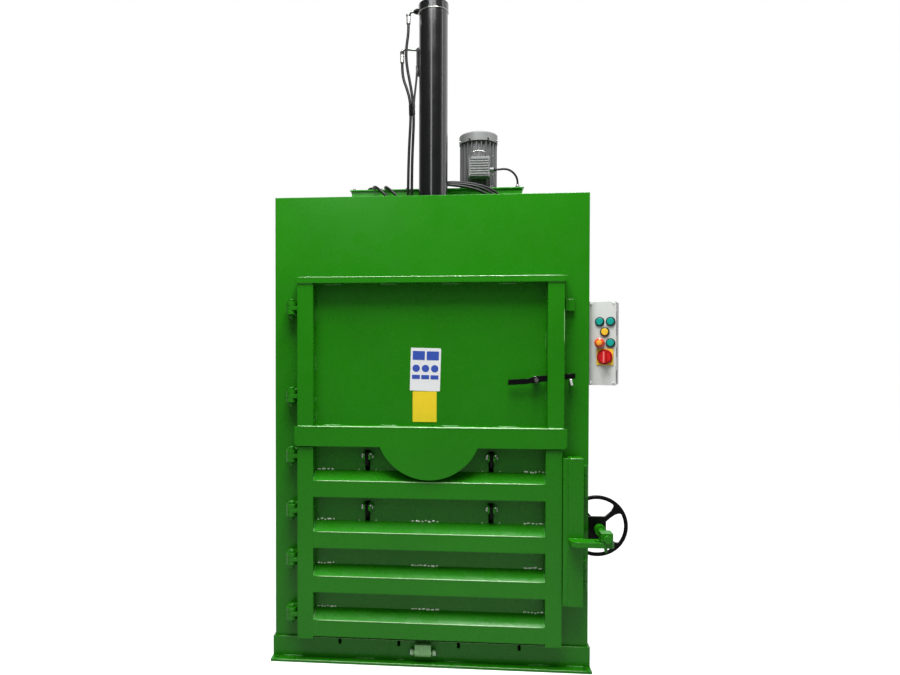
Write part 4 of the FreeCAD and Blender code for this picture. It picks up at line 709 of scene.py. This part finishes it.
def tapered(bm, points, radius):
    """A thin rounded strip along an edge that fades out at both ends; its pale colour is a painted
    highlight.
    """
    line = spaced(points, 0.012)
    last = len(line) - 1
    sweep(bm, line, lambda k: circle(radius * min(1.0, 0.25 + 0.25 * min(k, last - k)), 8), (0.1, 0.7, 0.7))


def level_edge(bm, start, end, deep, high, radius):
    tapered(bm, [(start, deep, high), (end, deep, high)], radius)


def lower_edges(bm):
    for middle in RIB_MIDDLES:
        level_edge(bm, -0.463, 0.457, FRONT + 0.001, middle + RIB_CREST - 0.0004, 0.0021)


def upper_edges(bm):
    rail = APRON + 0.0048
    level_edge(bm, -0.538, 0.538, APRON + 0.0008, 0.9674, 0.0019)
    level_edge(bm, -0.462, 0.462, FRONT + 0.0004, 0.9682, 0.0013)
    level_edge(bm, -0.538, 0.538, rail, 1.5672, 0.0017)
    tapered(bm, [(0.5294, FRONT + 0.0006, 1.29), (0.5294, FRONT + 0.0006, 1.45)], 0.0014)
    tapered(bm, [(-0.536, rail, 1.556), (-0.528, rail, 1.545)], 0.0014)


def frame_edges(bm):
    level_edge(bm, -0.64, 0.64, -0.499, 0.0094, 0.0013)
    level_edge(bm, -0.638, 0.638, BASE_FRONT + 0.0008, 0.0895, 0.001)
    level_edge(bm, 0.542, 0.574, -0.4674, 1.4774, 0.0022)


def lock_edges(bm):
    level_edge(bm, 0.549, 0.602, -0.5294, LOCK_TOP - 0.0006, 0.0024)
    level_edge(bm, 0.53, 0.545, -0.5234, LOCK_TOP - 0.0006, 0.0018)


# near-white stitch welds: painted glints
mesh_piece("rib_stitch_welds", "lower_door", "green_paint", stitches, "glint_bead", 60)
# pale strips along the doors', frame's and lock's edges: painted highlights
mesh_piece("lower_door_edges", "lower_door", "green_paint", lower_edges, "painted_highlight_edge", 60)
mesh_piece("upper_door_edges", "upper_door", "green_paint", upper_edges, "painted_highlight_edge", 60)
mesh_piece("frame_edges", "frame", "green_paint", frame_edges, "painted_highlight_edge", 60)
mesh_piece("lock_edges", "lock", "green_paint", lock_edges, "painted_highlight_edge", 60)
mesh_piece("rib_weld_beads", "lower_door", "green_paint", rib_welds, "green_bead", 60)
mesh_piece("upper_door_weld_beads", "upper_door", "green_paint", upper_door_welds, "green_bead", 60)
mesh_piece("frame_weld_beads", "frame", "green_paint", frame_welds, "green_bead", 60)
mesh_piece("barrel_weld_beads", "frame", "steel", barrel_welds, "bare_bead", 60)
mesh_piece("tab_weld_beads", "frame", "black_paint", tab_welds, "satin_black", 60)


# ---------- fasteners

TANK_LID = 2.0628       # foot of the lid's bolts
MOTOR_ACROSS, MOTOR_DEEP = 0.218, 0.25    # the motor's upright axis


def hinge_nuts(bm):
    """Domed nuts under the hinge pins."""
    profile = [(0.01, 0), (0.0102, 0.004), (0.0085, 0.0085), (0.0052, 0.0105), (0.0046, 0.014),
               (0.0025, 0.0155), (0, 0.0158)]
    for high in UPPER_HINGES + LOWER_HINGES:
        lathe(bm, (HINGE_ACROSS, HINGE_DEEP, high - 0.0305), DOWN, profile)


def claw_bolts(bm):
    rivet = [(0.0034, 0), (0.0034, 0.0016), (0.002, 0.003), (0, 0.0034)]
    for i, (across, high) in enumerate(CLAWS):
        hex_head(bm, (across + 0.0152, CLAW_DEEP, high), RIGHT, 0.0135, 0.0092, 0.3 + i, False)
        hex_head(bm, (across - 0.0152, CLAW_DEEP, high), LEFT, 0.013, 0.0066, 0.9 + i, False)
        for side in (-1, 1):
            place = (across + side * 0.0165, CLAW_DEEP - 0.0145, high + 0.0105)
            lathe(bm, place, (side * 0.3, -0.9, 0.3), rivet, 10)


def ejector_heads(bm):
    for start, side in ((-0.0605, -1), (0.0165, 1)):
        hex_head(bm, (start, -0.48, 0.052), (side, 0, 0), 0.0215, 0.0125, 0.2, False)


def lid_bolts(bm):
    wide, high = 0.013, 0.0072
    for across in (-0.393, -0.262, -0.131, 0.4):
        hex_head(bm, (across, 0.145, TANK_LID), UP, wide, high, across * 9)
    for across in (-0.393, -0.262, -0.131, 0.0, 0.131, 0.262, 0.413):
        hex_head(bm, (across, 0.425, TANK_LID), UP, wide, high, across * 7)
    for deep in (0.24, 0.335):
        hex_head(bm, (-0.4, deep, TANK_LID), UP, wide, high, deep * 5)
        hex_head(bm, (0.42, deep, TANK_LID), UP, wide, high, deep * 8)


def round_motor(turn, reach, high):
    """A place beside the motor and the way out from its axis there; turn in degrees."""
    way = (math.cos(math.radians(turn)), math.sin(math.radians(turn)), 0)
    return (MOTOR_ACROSS + reach * way[0], MOTOR_DEEP + reach * way[1], high), way


def motor_bolts(bm):
    for turn in (45, 135, 225, 315, 0):
        hex_head(bm, round_motor(turn, 0.0885, 2.0765)[0], UP, 0.014, 0.0092, turn)
    for turn in (-62, -118, -20, 200, 62, 118):
        hex_head(bm, *round_motor(turn, 0.0948, 2.3095), 0.0085, 0.0055, turn)
    screw = [(0.0042, -0.002), (0.0042, 0.0012), (0.003, 0.0026), (0, 0.003)]
    for across in (0.1735, 0.2825):
        for high in (2.1165, 2.2055):
            lathe(bm, (across, 0.1042, high), FORWARD, screw, 14)


def flange_bolts(bm):
    for across in (-1, 1):
        for deep in (-1, 1):
            hex_head(bm, (0.098 * across, 0.098 * deep, 1.9268), UP, 0.024, 0.015, across + deep * 0.3)


mesh_piece("hinge_nuts", "frame", "green_paint", hinge_nuts)
mesh_piece("claw_bolt_heads", "lower_door", "steel", claw_bolts, "bright_zinc")
mesh_piece("ejector_bolt_heads", "frame", "steel", ejector_heads, "bright_zinc")
mesh_piece("tank_lid_bolts", "frame", "steel", lid_bolts, "zinc")
mesh_piece("motor_bolts", "frame", "steel", motor_bolts, "zinc")
mesh_piece("flange_bolts", "frame", "steel", flange_bolts, "zinc")


# ---------- hose ends, strap and band

def crimped(bm, place, axis, length):
    """A crimped ferrule: a collar, three squeezed rings and a rolled mouth."""
    profile = [(0.007, 0), (0.0094, 0.0003)]
    for k in range(4):
        start = length * (0.06 + 0.21 * k)
        profile += [(0.0096, start), (0.0096, start + length * 0.11), (0.0089, start + length * 0.14),
                    (0.0089, start + length * 0.19)]
    profile += [(0.0094, length * 0.93), (0.0098, length * 0.96), (0.0094, length), (0.0062, length)]
    lathe(bm, place, axis, profile)


def port_elbow(bm, hose, run, bend, radius, start, tail, ferrule, turn):
    """An elbow from a barrel port down to its hose, with the hose's nut and ferrule."""
    across, deep, high = hose[0]
    sweep(bm, run + arc(bend, RIGHT, UP, radius, start, 180, 8) + [(across, deep, tail)], circle(0.0064, 18))
    hex_head(bm, (across, deep, high + ferrule + 0.01), DOWN, 0.0205, 0.011, turn, False)
    crimped(bm, hose[0], UP, ferrule)


def hose_ends(bm):
    upper = [(-0.06, 0, 2.858), (-0.085, 0, 2.858)]
    port_elbow(bm, UPPER_HOSE, upper, (-0.099, 0, 2.84), 0.018, 90, 2.83, 0.038, 0.4)
    lower = [(-0.048, 0.04, 2.6965), (-0.09, 0.04, 2.698), (-0.12, 0.04, 2.701)]
    port_elbow(bm, LOWER_HOSE, lower, (-0.133, 0.04, 2.686), 0.016, 80, 2.675, 0.043, 0.7)
    for across, deep, high in (DRAIN_HOSE_1[0], DRAIN_HOSE_2[0]):
        foot = deep + 0.0125
        bend = arc((across, deep + 0.004, high - 0.0085), BACK, UP, 0.0085, 90, 0, 6)
        path = [(across, deep, high), (across, deep + 0.004, high)] + bend
        sweep(bm, path + [(across, foot, TANK_LID + 0.0012)], circle(0.0075, 16), RIGHT)
        hex_head(bm, (across, foot, TANK_LID), UP, 0.019, 0.007, 0.5, False)
        crimped(bm, (across, deep - 0.03, high), BACK, 0.03)
    ring = [(0.0088, 0), (0.0088, 0.005), (0.0078, 0.009), (0.0066, 0.0098)]
    for hose in (RETURN_HOSE_1, RETURN_HOSE_2, RETURN_HOSE_3, DRAIN_HOSE_1, DRAIN_HOSE_2):
        across, deep = hose[-1][:2]
        hex_head(bm, (across, deep, DECK - 0.0005), UP, 0.018, 0.009, across * 20, False)
        lathe(bm, (across, deep, DECK + 0.008), UP, ring)
    across, deep = MOTOR_CABLE[-1][:2]
    gland = [(0.0094, 0), (0.0094, 0.0035), (0.0078, 0.0072), (0.0052, 0.0085)]
    hex_head(bm, (across, deep, TANK_LID + 0.0002), UP, 0.019, 0.0055, 0.1, False)
    lathe(bm, (across, deep, TANK_LID + 0.0052), UP, gland)


def port_adaptors(bm):
    """Black adaptors between the barrel and the two elbows."""
    mouth = [(0.0085, -0.001), (0.0088, 0.004), (0.0075, 0.007), (0.0064, 0.0075)]
    for place, length in (((-0.064, 0, 2.858), 0.021), ((-0.05, 0.04, 2.6965), 0.025)):
        hex_head(bm, place, LEFT, 0.022, length, 0.2, False)
        lathe(bm, Vector(place) + Vector(LEFT) * length, LEFT, mouth)


mesh_piece("port_adaptors", "frame", "black_paint", port_adaptors, "satin_black")
ends = mesh_piece("hose_ends", "frame", "steel", hose_ends, "zinc")
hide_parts("hose_fittings")


def hull_loop(first, second, radius):
    """Outline round two round hoses that lie side by side."""
    steps = 28
    loop = []
    for k in range(steps):
        angle = 2 * math.pi * k / steps
        way = Vector((math.cos(angle), math.sin(angle), 0))
        centre = first if (first - second).dot(way) > 0 else second
        loop.append(centre + way * radius)
    return loop


def hose_band(bm):
    """Tape wound round both press hoses."""
    rings = []
    steps = 24          # every fourth ring lies in the dip between two wraps
    for k in range(steps + 1):
        share = k / steps
        high = 2.434 - 0.053 * share
        first = Vector((-0.0953 + 0.0028 * share, 0.006, high))
        second = Vector((-0.109 + 0.0016 * share, 0.0215 - 0.0027 * share, high))
        radius = 0.0074 if k % 4 == 3 else 0.0079
        if k in (0, steps):
            radius = 0.007
        rings.append([bm.verts.new(point) for point in hull_loop(first, second, radius)])
    skin_rings(bm, rings)


def hose_strap(bm):
    """Webbing from the tab on the barrel down to the band."""
    line = [(-0.0775, -0.0015, 2.606), (-0.0768, -0.006, 2.576), (-0.079, -0.005, 2.54),
            (-0.0835, -0.004, 2.5), (-0.088, -0.003, 2.462), (-0.0905, -0.003, 2.433),
            (-0.089, -0.0035, 2.412)]
    flat = [(-0.0016, -0.0048), (0.0016, -0.0048), (0.002, -0.0036), (0.002, 0.0036), (0.0016, 0.0048),
            (-0.0016, 0.0048), (-0.002, 0.0036), (-0.002, -0.0036)]
    sweep(bm, spaced(line, 0.008), flat)


mesh_piece("hose_band", "frame", "rubber", hose_band)
mesh_piece("hose_strap", "frame", "rubber", hose_strap)


# ---------- motor

def lifting_tube(bm):
    left, right, deep, foot, radius = 0.186, 0.252, 0.136, 2.21, 0.01
    path = [(left, deep, foot), (left, deep, 2.226)]
    path += arc((0.196, deep, 2.23), RIGHT, UP, radius, 180, 90, 6)
    path += [(0.22, deep, 2.243)] + arc((0.242, deep, 2.229), RIGHT, UP, radius, 90, 0, 6)
    sweep(bm, path + [(right, deep, foot)], circle(0.0034, 14))
    for across in (left, right):
        hex_head(bm, (across, deep, foot + 0.0015), UP, 0.015, 0.006, 0.2, False)


def grille(bm):
    """Ring guard over the fan's air inlet."""
    top = 2.3458
    for radius in (0.014, 0.026, 0.038, 0.05, 0.062, 0.074):
        ring = [(radius - 0.0016, 0), (radius - 0.0012, 0.0022), (radius, 0.0028), (radius + 0.0012, 0.0022),
                (radius + 0.0016, 0)]
        lathe(bm, (MOTOR_ACROSS, MOTOR_DEEP, top), UP, ring, 56)
    for k in range(6):
        angle = math.pi * k / 3
        way = Vector((math.cos(angle), math.sin(angle), 0))
        start = Vector((MOTOR_ACROSS, MOTOR_DEEP, top + 0.0012)) + way * 0.012
        sweep(bm, [start, start + way * 0.063], circle(0.0018, 8), UP)


def air_inlet(bm):
    inlet = [(0.076, 0), (0.0755, 0.0008), (0.04, 0.0007), (0, 0.0007)]
    lathe(bm, (MOTOR_ACROSS, MOTOR_DEEP, 2.3456), UP, inlet, 48)


def lead_gland(bm):
    across, deep, high = MOTOR_CABLE[0]
    gland = [(0.0082, 0), (0.0082, 0.004), (0.007, 0.009), (0.0052, 0.01)]
    hex_head(bm, (across - 0.001, deep, high), RIGHT, 0.017, 0.0055, 0.3, False)
    lathe(bm, (across + 0.004, deep, high), RIGHT, gland)


mesh_piece("motor_lifting_tube", "frame", "steel", lifting_tube, "zinc")
mesh_piece("fan_grille", "frame", "grey_paint", grille)
mesh_piece("fan_inlet", "frame", "black_plastic", air_inlet)
mesh_piece("motor_lead_gland", "frame", "black_plastic", lead_gland)


# ---------- control box

BOX_TURN = math.radians(20)
BOX_WAY = Vector((math.cos(BOX_TURN), -math.sin(BOX_TURN), 0))
BOX_OUT = Vector((-math.sin(BOX_TURN), -math.cos(BOX_TURN), 0))
BOX_CORNER = (0.64, -0.415)
BOX_WIDE, BOX_LOW, BOX_TOP = 0.106, 1.136, 1.47
SWITCH_ACROSS, SWITCH_HIGH = 0.064, 1.249
STOP_ACROSS, STOP_HIGH = 0.045, 1.305


def on_box(across, out, high):
    """A point on the turned cover: across from its left edge, out from its face."""
    return Vector((*BOX_CORNER, high)) + BOX_WAY * across + BOX_OUT * out


def bezel(bm, across, high):
    ring = [(0.0146, 0.0005), (0.0146, 0.006), (0.0156, 0.0068), (0.0172, 0.0062), (0.0184, 0.004),
            (0.0188, 0.0)]
    lathe(bm, on_box(across, 0, high), BOX_OUT, ring, 40)


def black_bezels(bm):
    for across, high in ((0.043, 1.39), (0.085, 1.39), (0.063, 1.349), (0.085, STOP_HIGH)):
        bezel(bm, across, high)


def stop_bezel(bm):
    bezel(bm, STOP_ACROSS, STOP_HIGH)


def switch_plate(bm):
    """Rounded square plate with a round opening for the switch."""
    half, corner, hole, top, steps = 0.0328, 0.005, 0.0092, 0.004, 64
    rings = []
    for inner, out in ((False, 0.0), (False, 0.0034), (False, top), (True, top), (True, 0.0)):
        ring = []
        for k in range(steps):
            angle = 2 * math.pi * (k + 0.5) / steps
            way = Vector((math.cos(angle), math.sin(angle)))
            if inner:
                spot = way * hole
            else:
                size = half - (0.0006 if out == top else 0)
                reach = size / max(abs(way.x), abs(way.y))
                spot = way * reach
                excess = Vector((max(abs(spot.x) - (size - corner), 0),
                                 max(abs(spot.y) - (size - corner), 0)))
                if excess.x > 0 and excess.y > 0:
                    pull = excess.length - corner
                    if pull > 0:
                        back = excess.normalized() * pull
                        spot -= Vector((math.copysign(back.x, spot.x), math.copysign(back.y, spot.y)))
            ring.append(bm.verts.new(on_box(SWITCH_ACROSS + spot.x, out, SWITCH_HIGH + spot.y)))
        rings.append(ring)
    skin_rings(bm, rings)


def switch_collar(bm):
    """Fixed ring that the switch's dial turns in."""
    ring = [(0.025, 0.0036), (0.025, 0.0112), (0.0262, 0.0126), (0.0284, 0.0124), (0.0298, 0.0106),
            (0.03, 0.0036)]
    lathe(bm, on_box(SWITCH_ACROSS, 0, SWITCH_HIGH), BOX_OUT, ring, 48)


def switch_mark(bm):
    """Pale pointer let into the switch's bar."""
    corners = [(-0.0022, -0.0215), (0.0022, -0.0215), (0.0026, -0.019), (0.0026, 0.019),
               (0.0022, 0.0215), (-0.0022, 0.0215), (-0.0026, 0.019), (-0.0026, -0.019)]
    low = [bm.verts.new(on_box(SWITCH_ACROSS + a, 0.0335, SWITCH_HIGH + b)) for a, b in corners]
    tops = [(SWITCH_ACROSS + a * 0.9, SWITCH_HIGH + b * 0.99) for a, b in corners]
    high = [bm.verts.new(on_box(a, 0.0345, b)) for a, b in tops]
    skin(bm, low, high)
    bm.faces.new(high)


def cover_screws(bm):
    screw = [(0.0052, -0.001), (0.0052, 0.0006), (0.004, 0.0018), (0.0024, 0.0021), (0.002, 0.001),
             (0, 0.001)]
    for across in (0.009, BOX_WIDE - 0.009):
        for high in (BOX_LOW + 0.009, BOX_TOP - 0.009):
            lathe(bm, on_box(across, 0, high), BOX_OUT, screw, 20)


def box_gap_shade_strip(bm):
    """Black strip in the rubber finish between the box and its cover: painted shade of the gap there."""
    rings = []
    for out, grow in ((-0.0142, -0.0006), (-0.0142, 0.0008), (-0.0168, 0.0008), (-0.0168, -0.0006)):
        inset = 0.002 - grow
        left, right, low, high = inset, BOX_WIDE - inset, BOX_LOW + inset, BOX_TOP - inset
        corners = ((left, low), (right, low), (right, high), (left, high))
        rings.append([bm.verts.new(on_box(a, out, b)) for a, b in corners])
    skin_rings(bm, rings + rings[:1])


def box_catches(bm):
    """Dark catches along the box's outer side."""
    for low, high in ((1.335, 1.432), (1.25, 1.288), (1.146, 1.196)):
        rings = []
        for grow, out in ((0.0, 0.0), (0.0, 0.0016), (0.001, 0.0024)):
            ring = []
            for deep, level in ((-0.021, low), (-0.021, high), (-0.033, high), (-0.033, low)):
                deeper = deep + (grow if deep < -0.03 else -grow)
                inward = level + (grow if level == low else -grow)
                ring.append(bm.verts.new(on_box(0.1038 + out, deeper, inward)))
            rings.append(ring)
        skin_rings(bm, rings)
        bm.faces.new(rings[-1])


def stop_lens(bm):
    dome = [(0.0105, -0.0006), (0.0103, 0.0008), (0.008, 0.0019), (0.004, 0.0024), (0, 0.0025)]
    lathe(bm, on_box(STOP_ACROSS, 0.0296, STOP_HIGH), BOX_OUT, dome, 32)


mesh_piece("button_bezels", "frame", "black_plastic", black_bezels)
mesh_piece("stop_bezel", "frame", "orange_plastic", stop_bezel)
mesh_piece("switch_back_plate", "frame", "yellow_plastic", switch_plate)
mesh_piece("switch_collar", "frame", "red_plastic", switch_collar, "collar_red")
mesh_piece("switch_pointer", "switch", "pale_paint", switch_mark, "pointer_red")
mesh_piece("cover_screws", "frame", "steel", cover_screws, "bright_zinc")
# black strip in the gap round the cover: painted shade
mesh_piece("box_gap_shade_strip", "frame", "rubber", box_gap_shade_strip)
mesh_piece("box_catches", "frame", "black_plastic", box_catches)
mesh_piece("stop_lens", "stop", "orange_plastic", stop_lens, "amber_lens")


# ---------- latch and plates

def keeper_pin(bm):
    pin = [(0, 0), (0.0034, 0.0002), (0.0046, 0.0016), (0.0046, 0.0242), (0.0034, 0.0256), (0, 0.0258)]
    lathe(bm, (0.556, -0.4965, 1.162), (0.006, 0, -0.025), pin, 20)


def leaning(centre, lean, across, up):
    """A place on a plate that leans by a few degrees: across and up from its centre."""
    cos, sin = math.cos(math.radians(lean)), math.sin(math.radians(lean))
    return centre[0] + across * cos - up * sin, centre[1] + across * sin + up * cos


def plate(bm, centre, wide, tall, thick, lean, corner=0.004):
    """A thin plate with rounded corners on the upper door's sheet, leaning by a few degrees."""
    loop = []
    for across, up, start in ((1, 1, 0), (-1, 1, 90), (-1, -1, 180), (1, -1, 270)):
        for k in range(5):
            angle = math.radians(start + 22.5 * k)
            loop.append(((wide / 2 - corner) * across + corner * math.cos(angle),
                         (tall / 2 - corner) * up + corner * math.sin(angle)))
    spots = [leaning(centre, lean, a, b) for a, b in loop]
    low = [bm.verts.new((a, SHEET + 0.0003, b)) for a, b in spots]
    rim = [bm.verts.new((a, SHEET - thick, b)) for a, b in spots]
    skin(bm, low, rim)
    bm.faces.new(rim)


WHITE_PLATE, WHITE_LEAN = (-0.015, 1.197), -1.5
YELLOW_PLATE = (-0.018, 1.046)


def white_plate(bm):
    plate(bm, WHITE_PLATE, 0.122, 0.174, 0.001, WHITE_LEAN)


def yellow_plate(bm):
    plate(bm, YELLOW_PLATE, 0.097, 0.124, 0.001, 0.0)


def blue_field(bm, across, up, wide, tall, corner):
    plate(bm, leaning(WHITE_PLATE, WHITE_LEAN, across, up), wide, tall, 0.0013, WHITE_LEAN, corner)


def blue_fields(bm):
    """Two wide fields, then three round ones over three narrow ones."""
    for across in (-0.0285, 0.0285):
        blue_field(bm, across, 0.056, 0.049, 0.036, 0.002)
    for across in (-0.0375, 0.0, 0.0375):
        blue_field(bm, across, 0.004, 0.03, 0.03, 0.0149)
        blue_field(bm, across, -0.031, 0.032, 0.017, 0.002)


mesh_piece("keeper_pin", "frame", "steel", keeper_pin, "bright_zinc")
mesh_piece("white_plate", "upper_door", "pale_paint", white_plate, "white_vinyl")
mesh_piece("blue_fields", "upper_door", None, blue_fields, "blue_vinyl")
mesh_piece("yellow_plate", "upper_door", "yellow_plastic", yellow_plate, "yellow_vinyl")
